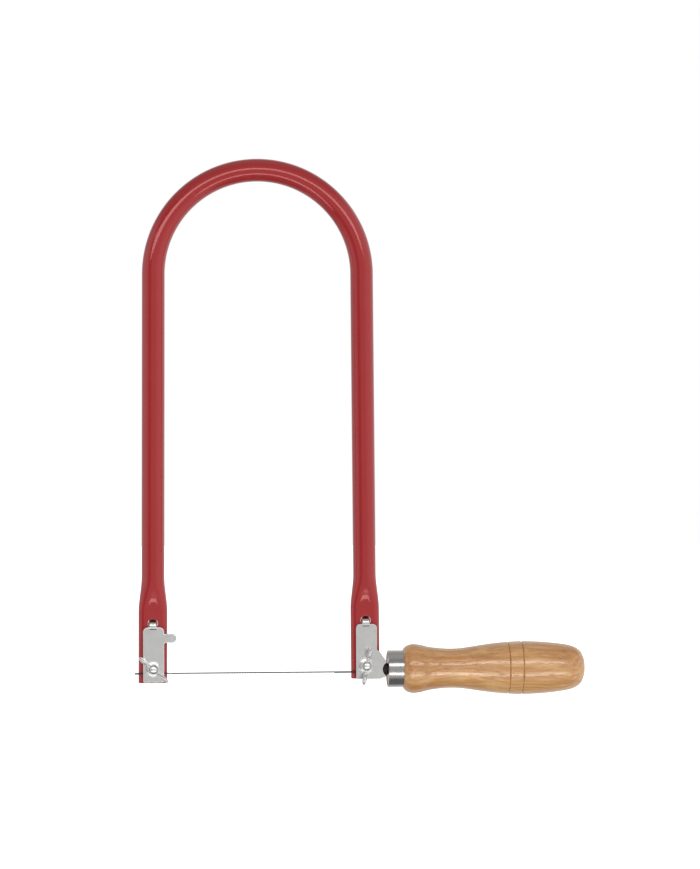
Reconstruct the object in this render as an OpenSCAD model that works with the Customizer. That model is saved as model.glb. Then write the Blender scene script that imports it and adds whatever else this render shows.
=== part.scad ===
// Fret saw: a bent tube bow with flattened ends, two clamps with wing nuts that
// hold a plain-ended blade, and a turned wooden handle on a forged tang.
//
// The bow stands in the X-Z plane with its bend upwards. X runs along the blade
// towards the handle, and Y runs from the clamp side to the back. The origin is
// where the bow's middle line crosses the middle of the blade's height.

/* [Blade] */
// Length of the blade from plain end to plain end
blade_l = 130; // [110:1:150]
// Height of the blade, from its back to the tips of its teeth
blade_h = 0.9; // [0.6:0.05:1.4]
// Thickness of the blade
blade_t = 0.35; // [0.2:0.05:0.6]
// Distance from one tooth to the next
tooth_pitch = 1.4; // [1:0.1:3]
// Depth of the teeth
tooth_depth = 0.32; // [0.15:0.01:0.4]
// Length without teeth at each end
blade_plain_l = 20; // [18:1:25]
// How far the blade reaches past the front bolt
front_reach = 10; // [9:0.1:14]
// How far the blade reaches past the rear bolt
rear_reach = 3.2; // [2.5:0.1:6]

/* [Bow] */
// Outside diameter of the bow tube
tube_d = 12.5; // [10:0.25:15]
// Wall of the bow tube
tube_wall = 1.25; // [1:0.05:1.5]
// Throat, from the blade up to the inside of the bend
throat = 269.5; // [160:0.5:360]
// Angle by which each arm leans outwards on its way down
splay = 0.3; // [0.1:0.05:1]
// Width of an arm where it is flattened
flat_w = 15.8; // [13.2:0.2:19]
// Thickness of an arm where it is flattened
flat_t = 6.7; // [5.8:0.1:8]
// Length over which a round arm turns flat
taper_l = 20; // [14:1:40]
// Length of flattened arm above the hook hole
flat_margin = 3.4; // [1:0.2:8]
// How far the front arm reaches below its bolt
front_tail = 7.9; // [6.5:0.1:10]
// How far the rear arm reaches below its bolt
rear_tail = 7.3; // [6.5:0.1:10]

/* [Clamp plates] */
// Width of a clamp plate
plate_w = 11.5; // [9.5:0.1:13]
// Thickness of the sheet that the plates are pressed from
plate_t = 1.8; // [1.5:0.1:2.2]
// How far a plate reaches above the bolt
plate_rise = 22.8; // [20:0.2:28]
// How far a plate reaches below the bolt
plate_tail = 7.4; // [6.5:0.1:9]
// How far a plate sits to the handle's side of the arm's middle
plate_shift = 0.3; // [0:0.05:0.4]
// Corner radius at the top of a plate
plate_corner_r = 2.4; // [1:0.1:3]
// Corner radius at the foot of a plate
plate_foot_r = 0.8; // [0.4:0.1:1.2]
// Hole in a plate that the bolt passes through
plate_hole_d = 5.4; // [5.2:0.1:6.4]

/* [Tongue and hook hole] */
// Width of the tongue that hooks into the arm
tongue_w = 3.8; // [3.2:0.1:4]
// Length of the straight tongue past its bend
tongue_l = 4; // [3:0.1:4.8]
// Inside radius of the tongue's bend
tongue_bend_r = 0.5; // [0.3:0.05:0.8]
// Angle that the tongue is bent through
tongue_bend = 70; // [62:1:80]
// Diameter of the hook hole in an arm
hook_hole_d = 5.7; // [5.5:0.1:6.6]
// Height of the hook hole's centre above the top of the plate
hook_hole_rise = 1.65; // [1.4:0.05:1.9]

/* [Finger tab on the front plate] */
// Width of the tab
tab_w = 4.6; // [3.5:0.1:5.4]
// Length of the tab past the edge of the plate
tab_l = 6.9; // [5:0.1:9]
// Distance from the top of the plate down to the middle of the tab
tab_drop = 6; // [5.2:0.1:8]
// Radius of the fillet under the tab
tab_fillet_r = 1; // [0.4:0.1:1.4]
// Radius of the dimple in the tab
dimple_r = 0.9; // [0.6:0.1:1.2]
// Depth of the dimple in the tab
dimple_depth = 0.35; // [0.2:0.05:0.5]

/* [Wing on the rear plate] */
// Height above the bolt where the wing leaves the plate
wing_rise = 8.5; // [7:0.1:10]
// How far the wing's gently sloping brow runs out
brow_l = 1.6; // [1:0.1:2.4]
// How far the brow falls over its length
brow_drop = 0.9; // [0.5:0.1:1.4]
// Gap between the wing and the ferrule
wing_gap = 0.6; // [0.4:0.05:1]
// Radius of the round bite in the wing
bite_r = 4.15; // [4:0.05:4.6]
// Depth of the round bite in the wing
bite_depth = 2.4; // [1.8:0.1:2.8]
// Length of the slanted corner under the bite
heel_l = 4.1; // [2:0.1:5]

/* [Bolts and washers] */
// Diameter of the bolt's thread
thread_d = 4; // [3.4:0.1:4.4]
// Gap between the front bolt and the back of the blade
front_bolt_gap = 0.15; // [0.1:0.05:1]
// Gap between the rear bolt and the back of the blade
rear_bolt_gap = 1.1; // [0.5:0.05:1.6]
// Radius of the domed bolt head
head_r = 4.6; // [3.8:0.1:5.4]
// Height of the domed bolt head
head_h = 2.2; // [1.8:0.1:2.8]
// How far the bolt stands out of the wing nut
bolt_proud = 1.4; // [1:0.1:3]
// Chamfer on the bolt's end
bolt_chamfer = 0.4; // [0.2:0.1:0.8]
// Outside radius of a washer
washer_r = 4.6; // [4.2:0.1:5.4]
// Thickness of a washer
washer_t = 0.8; // [0.6:0.05:1]

/* [Wing nuts] */
// Radius of a wing nut's hub where it meets the washer
hub_r = 4; // [3.6:0.1:4.2]
// Radius of a wing nut's hub at its top
hub_top_r = 3.1; // [2.8:0.1:3.5]
// Height of a wing nut's hub
hub_h = 5; // [4:0.1:6]
// Distance from one wing tip to the other
nut_span = 20.6; // [18:0.2:22]
// Height of a wing nut over its wings
nut_h = 10.5; // [9:0.1:12.4]
// Radius of a wing's round lobe
lobe_r = 3; // [2.6:0.1:3.4]
// Thickness of a wing
lobe_t = 2; // [1.6:0.1:2.4]
// Height above the washer where the wings leave the hub
lobe_low = 0.8; // [0.4:0.1:1.4]
// Direction of the front nut's wings, from the blade upwards
front_nut_turn = 139; // [0:1:179]
// Direction of the rear nut's wings, from the blade upwards
rear_nut_turn = 78; // [0:1:179]

/* [Tang] */
// Height of the handle's axis above the blade
handle_rise = 1.4; // [0:0.1:2]
// Gap between the flattened arm and the ferrule
standoff = 4.3; // [3.8:0.1:8]
// Height of the tang between the arm and the ferrule
neck_h = 7.4; // [6:0.1:7.6]
// Thickness of the tang between the arm and the ferrule
neck_t = 5.2; // [4.6:0.1:5.8]
// How far the tang's spade reaches above the bolt, inside the arm
spade_rise = 8; // [6.5:0.5:12]
// How far the spade stays inside the open end of the arm
spade_recess = 0.5; // [0.3:0.1:1]
// Radius of the spike inside the handle
spike_r = 3; // [2.5:0.1:3.5]
// Length of the spike inside the handle
spike_l = 56; // [40:1:66]
// Length of the spike's point
spike_point_l = 8; // [5:0.5:12]

/* [Ferrule] */
// Outside diameter of the ferrule
ferrule_d = 20.3; // [17.5:0.1:23]
// Length of the ferrule
ferrule_l = 8.5; // [7:0.1:12]
// Wall of the ferrule
ferrule_wall = 0.9; // [0.7:0.05:1.2]
// Rounding of the ferrule's outer edges
ferrule_edge_r = 0.5; // [0.2:0.05:0.6]
// How far the wood lies back inside the ferrule's mouth
spigot_recess = 0.4; // [0.3:0.05:0.6]

/* [Handle] */
// Length of the handle from the ferrule to its butt
handle_l = 100.4; // [85:0.2:120]
// Largest radius of the handle, at its belly
belly_r = 14.6; // [13.4:0.1:17]
// How far the wood stands out over the ferrule
shoulder_lip = 0.4; // [0.2:0.1:1]
// Radius of the flat face on the butt
butt_r = 4.2; // [3:0.1:5]
// Depth of the two turned grooves
groove_depth = 0.4; // [0.3:0.05:0.6]
// Width of the two turned grooves
groove_w = 0.8; // [0.5:0.05:1.2]

/* [Fits] */
// Clearance between pieces that are fixed together
fit_gap = 0.03; // [0.02:0.01:0.05]
// Clearance between the nut's thread and the bolt's
thread_gap = 0.05; // [0.03:0.01:0.08]
// Clearance around a bolt where it only passes through
pass_gap = 0.15; // [0.1:0.05:0.3]
// Gap between the faces of the plate, washer and nut
seat_gap = 0.02; // [0.01:0.01:0.04]
// How much smaller each length of tube is than the one that it runs into
weld = 0.02; // [0.015:0.005:0.03]

/* [Hidden] */
$fn = 96;
// How far a cutting shape runs past what it cuts
over = tube_wall;

// The bow: the bolts' distance from the middle, the bend's radius and its centre
arm_x = (blade_l - front_reach - rear_reach) / 2;
bend_r = (arm_x * cos(splay) - (throat + tube_d / 2) * sin(splay)) / (1 - sin(splay));
bend_z = throat + tube_d / 2 - bend_r;
flat_rise = plate_rise + hook_hole_rise + hook_hole_d / 2 + flat_margin;
half_flat = (flat_w - flat_t) / 2;

// Heights of the bolts: each passes just above the blade
front_z = (thread_d + blade_h) / 2 + front_bolt_gap;
rear_z = (thread_d + blade_h) / 2 + rear_bolt_gap;

// Depths of the stacked faces, from the arm's clamp face forwards
arm_front_y = -flat_t / 2;
plate_back_y = arm_front_y - blade_t;
plate_front_y = plate_back_y - plate_t;
washer_back_y = plate_front_y - seat_gap;
nut_back_y = washer_back_y - washer_t - seat_gap;
bolt_end_y = nut_back_y - hub_h - bolt_proud;

// Places along the handle
ferrule_x = arm_x + flat_w / 2 + standoff;
spigot_x = ferrule_x + spigot_recess;
shoulder_x = ferrule_x + ferrule_l;
spigot_r = ferrule_d / 2 - ferrule_wall - fit_gap;
spade_t = flat_t - 2 * (tube_wall + fit_gap);
root_t = spade_t - 4 * pass_gap;

// How far an arm runs up inside the bend
weld_l = tube_d / 12;

// Sides and steps of a taper, and steps of a plate's corner, of the tongue's bend,
// of the ferrule's edge and of each stretch of the handle's outline
taper_sides = 32;
taper_steps = 9;
corner_steps = 8;
bend_steps = 8;
edge_steps = 5;
outline_steps = 4;
// The handle's outline: distance from the shoulder as a share of its length,
// with the radius as a share of the belly's
outline_shares = [
    [0.012, 0.825], [0.034, 0.901], [0.060, 0.927], [0.100, 0.891], [0.144, 0.818],
    [0.210, 0.760], [0.275, 0.744], [0.341, 0.778], [0.430, 0.870], [0.517, 0.946],
    [0.604, 0.991], [0.670, 1.000], [0.758, 0.977], [0.845, 0.921], [0.915, 0.845],
    [0.955, 0.745], [0.980, 0.610], [0.993, 0.440]
];
// Places of the two grooves as shares of the handle's length
groove_shares = [0.580, 0.654];
// How far the wing's slanted edges run on past its tips, as a share of their length
run_on_share = 0.2;

// What belongs to the front arm is drawn round its bolt and moved here
module at_front() {
    translate([-arm_x, 0, front_z]) children();
}

// What belongs to the rear arm is drawn round its bolt and moved here
module at_rear() {
    translate([arm_x, 0, rear_z]) children();
}

// A shape drawn in X and Z, given a thickness forwards from depth y
module forward(y, thickness) {
    translate([0, y, 0]) rotate([90, 0, 0]) linear_extrude(thickness) children();
}

// A rod that runs forwards from depth y
module rod(y, length, r) {
    translate([0, y, 0]) rotate([90, 0, 0]) cylinder(r = r, h = length);
}

// Turns what is drawn along +Z to run along the handle
module along_handle(x) {
    translate([x, 0, handle_rise]) rotate([0, 90, 0]) children();
}

// The flattened tube's section, or its bore's
module flat_section(thickness) {
    square([2 * half_flat, thickness], center = true);
    for (side = [-1, 1]) translate([side * half_flat, 0]) circle(d = thickness);
}

function ease(t) = t * t * (3 - 2 * t);

// One ring of a taper: t is 0 where the arm is flat and 1 where it is round
function taper_ring(t, z, wall) =
    let (half = half_flat * (1 - ease(t)),
         r = (flat_t + (tube_d - flat_t) * ease(t)) / 2 - wall - 2 * weld)
    [for (i = [0 : taper_sides - 1])
        let (a = 360 * (i + 0.5) / taper_sides)
        [sign(cos(a)) * half + r * cos(a), r * sin(a), z]];

// An arm between flat and round, or its bore where wall is more than 0
module taper(wall) {
    steps = [for (i = [0 : taper_steps]) taper_l * i / taper_steps];
    heights = concat([-over], steps, [taper_l + over]);
    rings = [for (z = heights) taper_ring(min(max(z / taper_l, 0), 1), z, wall)];
    n = taper_sides;
    top = n * (len(rings) - 1);
    polyhedron(
        points = [for (ring = rings) each ring],
        faces = [
            [for (i = [0 : n - 1]) i],
            [for (i = [0 : n - 1]) top + n - 1 - i],
            for (k = [0 : len(rings) - 2], i = [0 : n - 1])
                let (a = k * n + i, b = k * n + (i + 1) % n)
                each [[a, a + n, b], [b, a + n, b + n]]
        ]
    );
}

// One arm, hung from the bend's centre line, or its bore where wall is more than 0
module arm(wall, bolt_z, tail) {
    bolt_drop = (bend_z - bolt_z + bend_r * sin(splay)) / cos(splay);
    flat_top = flat_rise - bolt_drop;
    round_l = bolt_drop - flat_rise - taper_l;
    foot = -bolt_drop - tail - (wall > 0 ? over : 0);
    translate([0, 0, foot]) linear_extrude(flat_top - foot) flat_section(flat_t - 2 * wall);
    translate([0, 0, flat_top]) taper(wall);
    translate([0, 0, -round_l])
        cylinder(r = tube_d / 2 - wall - weld, h = round_l + weld_l);
}

// The whole tube as if solid, or its bore where wall is more than 0
module tube_shape(wall) {
    translate([0, 0, bend_z]) {
        rotate([90, 0, 0]) rotate_extrude(angle = 180 - 2 * splay, start = splay)
            translate([bend_r, 0]) circle(d = tube_d - 2 * wall);
        rotate([0, splay, 0]) translate([-bend_r, 0, 0]) arm(wall, front_z, front_tail);
        rotate([0, -splay, 0]) translate([bend_r, 0, 0]) arm(wall, rear_z, rear_tail);
    }
}

// The bolt's round and square holes and the hook hole of one arm
module arm_holes() {
    neck = thread_d + 2 * fit_gap;
    rod(0, flat_t / 2 + over, thread_d / 2 + pass_gap);
    translate([-neck / 2, 0, -neck / 2]) cube([neck, flat_t / 2 + over, neck]);
    translate([0, 0, plate_rise + hook_hole_rise]) rod(0, flat_t / 2 + over, hook_hole_d / 2);
}

// The slot in the rear arm's side that the tang leaves by, open at the arm's foot
module tang_slot() {
    low = rear_z - rear_tail - over;
    high = handle_rise + neck_h / 2 + pass_gap;
    slot_t = root_t + 2 * pass_gap;
    translate([arm_x + half_flat, -slot_t / 2, low])
        cube([flat_t / 2 + over, slot_t, high - low]);
}

module bow_tube() {
    color("#a83a42") difference() {
        tube_shape(0);
        tube_shape(tube_wall);
        at_front() arm_holes();
        at_rear() arm_holes();
        tang_slot();
    }
}

// One tooth: a gullet, then a long slope down to a point with a steep face
function tooth(x) =
    let (point_z = -blade_h / 2, gullet_z = point_z + tooth_depth)
    [[x, gullet_z], [x + tooth_pitch * 0.3, gullet_z], [x + tooth_pitch * 0.85, point_z]];

module blade() {
    tip_x = -arm_x - front_reach;
    teeth = floor((blade_l - 2 * blade_plain_l) / tooth_pitch);
    first_x = tip_x + (blade_l - teeth * tooth_pitch) / 2;
    last_x = first_x + teeth * tooth_pitch;
    color("#4a4a4c") forward(arm_front_y, blade_t) polygon([
        [tip_x, blade_h / 2],
        [tip_x, -blade_h / 2],
        [first_x, -blade_h / 2],
        for (i = [0 : teeth - 1]) each tooth(first_x + i * tooth_pitch),
        [last_x, -blade_h / 2],
        [tip_x + blade_l, -blade_h / 2],
        [tip_x + blade_l, blade_h / 2]
    ]);
}

// A round corner: a quarter of a circle round c, from angle start on
function corner(c, r, start) =
    [for (i = [0 : corner_steps])
        let (a = start + 90 * i / corner_steps) c + r * [cos(a), sin(a)]];

// The outline that both plates share: a strip with round corners, which ends in
// its own points where it comes round to the foot on the handle's side
module plate_outline(foot_points) {
    half = plate_w / 2;
    top_z = plate_rise - plate_corner_r;
    polygon([
        each corner([half - plate_corner_r, top_z], plate_corner_r, 0),
        each corner([-half + plate_corner_r, top_z], plate_corner_r, 90),
        each corner([-half + plate_foot_r, -plate_tail + plate_foot_r], plate_foot_r, 180),
        each foot_points
    ]);
}

// The tongue at a plate's top, bent back through the hook hole of the arm
module tongue() {
    inner = tongue_bend_r;
    outer = tongue_bend_r + plate_t;
    arc = [for (i = [0 : bend_steps]) tongue_bend * i / bend_steps];
    along = tongue_l * [sin(tongue_bend), cos(tongue_bend)];
    tip_side = [-cos(tongue_bend), sin(tongue_bend)];
    translate([-tongue_w / 2, plate_back_y + inner, plate_rise]) rotate([90, 0, 90])
        linear_extrude(tongue_w) polygon([
            [-outer, -plate_corner_r],
            for (a = arc) outer * [-cos(a), sin(a)],
            outer * tip_side + along,
            inner * tip_side + along,
            for (a = arc) inner * [-cos(tongue_bend - a), sin(tongue_bend - a)],
            [-inner, -plate_corner_r]
        ]);
}

// A whole plate, whose outline is given as its children
module clamp_plate() {
    color("#c3c4c6") difference() {
        translate([plate_shift, 0, 0]) {
            forward(plate_back_y, plate_t) children();
            tongue();
        }
        rod(0, -plate_front_y + over, plate_hole_d / 2);
    }
}

// The front plate's tab: a strip with a round end, and a fillet under its root
module tab_outline() {
    edge = plate_w / 2;
    centre_z = plate_rise - tab_drop;
    round_x = edge + tab_l - tab_w / 2;
    translate([0, centre_z - tab_w / 2]) square([round_x, tab_w]);
    translate([round_x, centre_z]) circle(d = tab_w);
    translate([edge, centre_z - tab_w / 2 - tab_fillet_r]) difference() {
        square(tab_fillet_r);
        translate([tab_fillet_r, 0]) circle(r = tab_fillet_r);
    }
}

module front_clamp_plate() {
    // the ball that pressed the dimple
    ball_r = (dimple_r * dimple_r + dimple_depth * dimple_depth) / (2 * dimple_depth);
    dimple_x = plate_shift + (plate_w - tab_w) / 2 + tab_l;
    foot = [plate_w / 2 - plate_foot_r, -plate_tail + plate_foot_r];
    at_front() difference() {
        clamp_plate() {
            plate_outline(corner(foot, plate_foot_r, 270));
            tab_outline();
        }
        translate([dimple_x, plate_front_y - ball_r + dimple_depth, plate_rise - tab_drop])
            sphere(r = ball_r);
    }
}

// The rear plate has a wing, with a round bite that clears the tang. Both slanted
// edges run on into the bite, which cuts them off at the wing's two tips.
module rear_clamp_plate() {
    edge = plate_w / 2;
    tip_x = ferrule_x - wing_gap - arm_x - plate_shift;
    bite_x = tip_x - bite_depth + bite_r;
    bite_z = handle_rise - rear_z;
    half_bite = sqrt(bite_r * bite_r - (tip_x - bite_x) * (tip_x - bite_x));
    brow = [edge + brow_l, wing_rise - brow_drop];
    heel = [tip_x - heel_l, -plate_tail];
    upper_tip = [tip_x, bite_z + half_bite];
    lower_tip = [tip_x, bite_z - half_bite];
    at_rear() difference() {
        clamp_plate() plate_outline([
            heel,
            lower_tip + run_on_share * (lower_tip - heel),
            upper_tip + run_on_share * (upper_tip - brow),
            brow,
            [edge, wing_rise]
        ]);
        translate([plate_shift + bite_x, 0, bite_z]) rod(0, -bolt_end_y, bite_r);
    }
}

// A bolt with a domed head behind the arm and a square neck in the arm's back wall
module bolt() {
    dome_r = (head_r * head_r + head_h * head_h) / (2 * head_h);
    back_y = flat_t / 2;
    color("#cfd0d2") {
        intersection() {
            translate([0, back_y + head_h - dome_r, 0]) sphere(r = dome_r);
            rod(back_y + 2 * head_h, 2 * head_h, head_r);
        }
        translate([-thread_d / 2, back_y - tube_wall, -thread_d / 2])
            cube([thread_d, tube_wall, thread_d]);
        rod(back_y, back_y - bolt_end_y - bolt_chamfer, thread_d / 2);
        translate([0, bolt_end_y + bolt_chamfer, 0]) rotate([90, 0, 0])
            cylinder(r1 = thread_d / 2, r2 = thread_d / 2 - bolt_chamfer, h = bolt_chamfer);
    }
}

module front_bolt() {
    at_front() bolt();
}

module rear_bolt() {
    at_rear() bolt();
}

module washer() {
    color("#b9babc") difference() {
        rod(washer_back_y, washer_t, washer_r);
        rod(0, -bolt_end_y, thread_d / 2 + pass_gap);
    }
}

module front_washer() {
    at_front() washer();
}

module rear_washer() {
    at_rear() washer();
}

// Where a line from point p touches a circle round c, on its left or right side
function touch_point(p, c, r, side) =
    let (d = p - c, a = atan2(d[1], d[0]) + side * acos(r / norm(d)))
    c + r * [cos(a), sin(a)];

// One wing from the side: a round lobe on a web that leaves the hub's wall
module wing_lobe() {
    centre = [nut_span / 2 - lobe_r, nut_h - lobe_r];
    low = [hub_r - thread_gap, lobe_low];
    high = [hub_top_r - thread_gap, hub_h];
    inside = thread_d / 2 + thread_gap;
    translate(centre) circle(r = lobe_r);
    polygon([
        [inside, lobe_low],
        low,
        touch_point(low, centre, lobe_r, 1),
        centre,
        touch_point(high, centre, lobe_r, -1),
        high,
        [inside, hub_h]
    ]);
}

module wing_nut(turn) {
    color("#c9cacc") translate([0, nut_back_y, 0]) rotate([90, 0, 0]) rotate([0, 0, turn])
        difference() {
            union() {
                cylinder(r1 = hub_r, r2 = hub_top_r, h = hub_h);
                for (side = [0, 180]) rotate([90, 0, side])
                    linear_extrude(lobe_t, center = true) wing_lobe();
            }
            translate([0, 0, -over]) cylinder(r = thread_d / 2 + thread_gap, h = hub_h + 2 * over);
        }
}

module front_wing_nut() {
    at_front() wing_nut(front_nut_turn);
}

module rear_wing_nut() {
    at_rear() wing_nut(rear_nut_turn);
}

// A spade in the arm's flattened end, a neck that leaves by its side, and a spike
module tang() {
    foot_z = rear_z - rear_tail + spade_recess;
    neck_x = arm_x + flat_w / 2 + pass_gap;
    neck_l = spigot_x - fit_gap - neck_x;
    color("#3b3937") {
        difference() {
            union() {
                translate([arm_x - half_flat, -spade_t / 2, foot_z])
                    cube([2 * half_flat, spade_t, rear_z + spade_rise - foot_z]);
                translate([arm_x, -root_t / 2, handle_rise - neck_h / 2])
                    cube([neck_x - arm_x, root_t, neck_h]);
            }
            at_rear() rod(flat_t / 2, flat_t, thread_d / 2 + pass_gap);
        }
        along_handle(neck_x) linear_extrude(neck_l) {
            square([neck_h - neck_t, neck_t], center = true);
            for (side = [-1, 1]) translate([side * (neck_h - neck_t) / 2, 0])
                circle(d = neck_t);
        }
        along_handle(spigot_x - fit_gap) cylinder(r = spike_r, h = spike_l - spike_point_l);
        along_handle(spigot_x - fit_gap + spike_l - spike_point_l)
            cylinder(r1 = spike_r, r2 = spike_r / 3, h = spike_point_l);
    }
}

module ferrule() {
    outer = ferrule_d / 2;
    inner = outer - ferrule_wall;
    edge = ferrule_edge_r;
    arc = [for (i = [0 : edge_steps]) 90 * i / edge_steps];
    color("#a9a9ab") along_handle(ferrule_x) rotate_extrude() polygon([
        [inner, 0],
        for (a = arc) [outer - edge + edge * sin(a), edge - edge * cos(a)],
        [outer, ferrule_l],
        [inner, ferrule_l]
    ]);
}

// A smooth curve from b to c, led in from a and out towards d
function blend_point(a, b, c, d, t) =
    ((2 * b) + (c - a) * t + (2 * a - 5 * b + 4 * c - d) * t * t
        + (3 * b - a - 3 * c + d) * t * t * t) / 2;

// The handle's outline from the shoulder to the butt, as distance and radius
function handle_outline() =
    let (first = [0, ferrule_d / 2 + shoulder_lip],
         mids = [for (s = outline_shares) [s[0] * handle_l, s[1] * belly_r]],
         last = [handle_l, butt_r],
         p = concat([first, first], mids, [last, last]))
    [for (i = [1 : len(p) - 3], k = [0 : outline_steps - 1])
        blend_point(p[i - 1], p[i], p[i + 1], p[i + 2], k / outline_steps)];

module handle() {
    outline = handle_outline();
    base = shoulder_x - spigot_x;
    bore_l = spike_l + over;
    color("#cf9f62") along_handle(spigot_x) difference() {
        rotate_extrude() polygon([
            [0, 0],
            [spigot_r, 0],
            [spigot_r, base],
            for (p = outline) [p[1], base + p[0]],
            [butt_r, base + handle_l],
            [0, base + handle_l]
        ]);
        translate([0, 0, -over]) cylinder(r = spike_r + fit_gap, h = bore_l + over);
        for (share = groove_shares)
            let (z = share * handle_l, r = lookup(z, outline))
            translate([0, 0, base + z]) rotate_extrude() polygon([
                [r - groove_depth, 0],
                [r + groove_depth, groove_w],
                [r + groove_depth, -groove_w]
            ]);
    }
}

bow_tube();
blade();
front_clamp_plate();
front_bolt();
front_washer();
front_wing_nut();
rear_clamp_plate();
rear_bolt();
rear_washer();
rear_wing_nut();
tang();
ferrule();
handle();
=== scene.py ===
# %% [markdown]
# # A fret saw, dressed around its CAD frame
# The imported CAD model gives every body, joint and node of the saw at its real size. It is
# loaded first and never changed. Each piece below is made in the same frame, in metres, so
# it lands where the CAD says it is, with nothing to fit afterwards. X runs along the blade
# to the handle, Y to the back and Z up into the bow.

# %% Load the frame
import math

import bmesh
import bpy
from mathutils import Matrix, Vector


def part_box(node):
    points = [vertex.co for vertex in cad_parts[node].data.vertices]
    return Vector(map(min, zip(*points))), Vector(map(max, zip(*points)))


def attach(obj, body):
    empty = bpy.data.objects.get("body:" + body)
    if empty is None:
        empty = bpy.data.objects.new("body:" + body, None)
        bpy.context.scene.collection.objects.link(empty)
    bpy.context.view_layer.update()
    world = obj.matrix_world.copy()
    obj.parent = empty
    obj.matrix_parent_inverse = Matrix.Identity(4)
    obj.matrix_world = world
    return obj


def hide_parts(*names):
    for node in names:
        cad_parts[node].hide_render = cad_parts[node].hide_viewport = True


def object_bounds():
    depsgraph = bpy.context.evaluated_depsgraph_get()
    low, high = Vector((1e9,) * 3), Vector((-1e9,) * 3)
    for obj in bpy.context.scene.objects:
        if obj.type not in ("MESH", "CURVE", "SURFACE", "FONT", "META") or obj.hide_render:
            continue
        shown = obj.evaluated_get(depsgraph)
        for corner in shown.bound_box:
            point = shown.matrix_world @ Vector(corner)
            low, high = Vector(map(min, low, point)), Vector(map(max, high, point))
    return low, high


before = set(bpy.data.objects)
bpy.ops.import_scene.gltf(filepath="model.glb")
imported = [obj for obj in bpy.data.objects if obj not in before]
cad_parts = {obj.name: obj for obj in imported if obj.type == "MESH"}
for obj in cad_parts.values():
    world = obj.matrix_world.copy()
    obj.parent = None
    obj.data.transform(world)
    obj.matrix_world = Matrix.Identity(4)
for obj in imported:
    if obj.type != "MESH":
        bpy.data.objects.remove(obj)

CAD_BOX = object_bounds()
MM = 0.001
print("CAD box in mm:", [tuple(round(value / MM, 1) for value in corner) for corner in CAD_BOX])

# %% [markdown]
# ## Where the clamps are
# Everything on a clamp sits on its bolt, and the bolt's head is round, so the middle of the
# bolt's box is the bolt's axis. Reading it from the frame keeps the two in step if the CAD
# changes.

# %% Read the bolts' axes and the faces that pieces sit on
def middle(node):
    low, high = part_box(node)
    return (low + high) / 2


def bolt_axis(node):
    centre = middle(node)
    return Vector((centre.x, 0, centre.z))


BOLTS = {side: bolt_axis(side + "_bolt") for side in ("front", "rear")}
FRONT_BOLT, REAR_BOLT = BOLTS.values()
BOLT_END = -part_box("front_bolt")[0].y
PLATE_FRONT = -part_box("front_clamp_plate")[0].y
BLADE_LOW, BLADE_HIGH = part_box("blade")
HANDLE_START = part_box("handle")[0].x
HANDLE_Z = middle("handle").z
print("bolts at", [round(bolt.x / MM, 2) for bolt in BOLTS.values()], "mm")

# %% [markdown]
# ## The camera
# The photograph was taken level with the middle of the saw, from far enough away that the
# two arms look parallel. A long lens at the same distance gives the same flat view: a short
# lens would show more of the tube's sides. The camera stands a little to the left, because
# the bolts' ends show slightly to the right of the arms' middle lines.

# %% Stand the camera
VIEW_DISTANCE = 2.2
VIEW_HEIGHT = 0.478
VIEW_YAW = math.radians(4.5)
VIEW_ROLL = math.radians(0.25)
VIEW_TARGET = Vector((50.5, 0, 130.4)) * MM


def new_object(name, data):
    made = bpy.data.objects.new(name, data)
    bpy.context.scene.collection.objects.link(made)
    return made


def facing(way):
    """The turn that points a camera or a lamp along a direction."""
    return way.to_track_quat("-Z", "Y")


lens = bpy.data.cameras.new("Camera")
lens.lens = lens.sensor_width * VIEW_DISTANCE / VIEW_HEIGHT
camera = new_object("Camera", lens)
back = Vector((-math.sin(VIEW_YAW), -math.cos(VIEW_YAW), 0))
camera.matrix_world = (
    Matrix.Translation(VIEW_TARGET + back * VIEW_DISTANCE)
    @ facing(-back).to_matrix().to_4x4()
    @ Matrix.Rotation(-VIEW_ROLL, 4, "Z")
)
bpy.context.scene.camera = camera
print("lens:", round(lens.lens, 1), "mm")

# %% [markdown]
# ## Node trees written as formulas
# Blender's shapes and finishes are both made of nodes. A formula of ten signs is ten Math
# nodes, which are tedious to place one by one. A Field stands for one socket and adds the
# right Math node for each sign, so that a rule reads as it would on paper.

# %% Helpers for node trees
def feed(tree, socket, value):
    if isinstance(value, Field):
        tree.links.new(value.socket, socket)
    elif isinstance(value, bpy.types.NodeSocket):
        tree.links.new(value, socket)
    else:
        socket.default_value = value


def add_node(tree, kind, inputs=None):
    node = tree.nodes.new(kind)
    for key, value in (inputs or {}).items():
        feed(tree, node.inputs[key], value)
    return node


class Field:
    """A number that a node tree works out."""

    def __init__(self, tree, socket):
        self.tree = tree
        self.socket = socket

    def math(self, operation, *others):
        node = add_node(self.tree, "ShaderNodeMath", dict(enumerate((self, *others))))
        node.operation = operation
        return Field(self.tree, node.outputs[0])

    def __add__(self, other):
        return self.math("ADD", other)

    def __sub__(self, other):
        return self.math("SUBTRACT", other)

    def __mul__(self, other):
        return self.math("MULTIPLY", other)

    def __truediv__(self, other):
        return self.math("DIVIDE", other)

    def __neg__(self):
        return self.math("MULTIPLY", -1)

    def __rsub__(self, other):
        return -self + other

    __radd__ = __add__
    __rmul__ = __mul__

    def clamp(self, low, high):
        return self.math("MAXIMUM", low).math("MINIMUM", high)


def split(tree, vector):
    node = add_node(tree, "ShaderNodeSeparateXYZ", {0: vector})
    return [Field(tree, socket) for socket in node.outputs]


def joined(tree, x, y, z):
    return add_node(tree, "ShaderNodeCombineXYZ", {0: x, 1: y, 2: z}).outputs[0]


def smooth_step(share):
    return share * share * (3 - share * 2)


print("node helpers ready")

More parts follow.
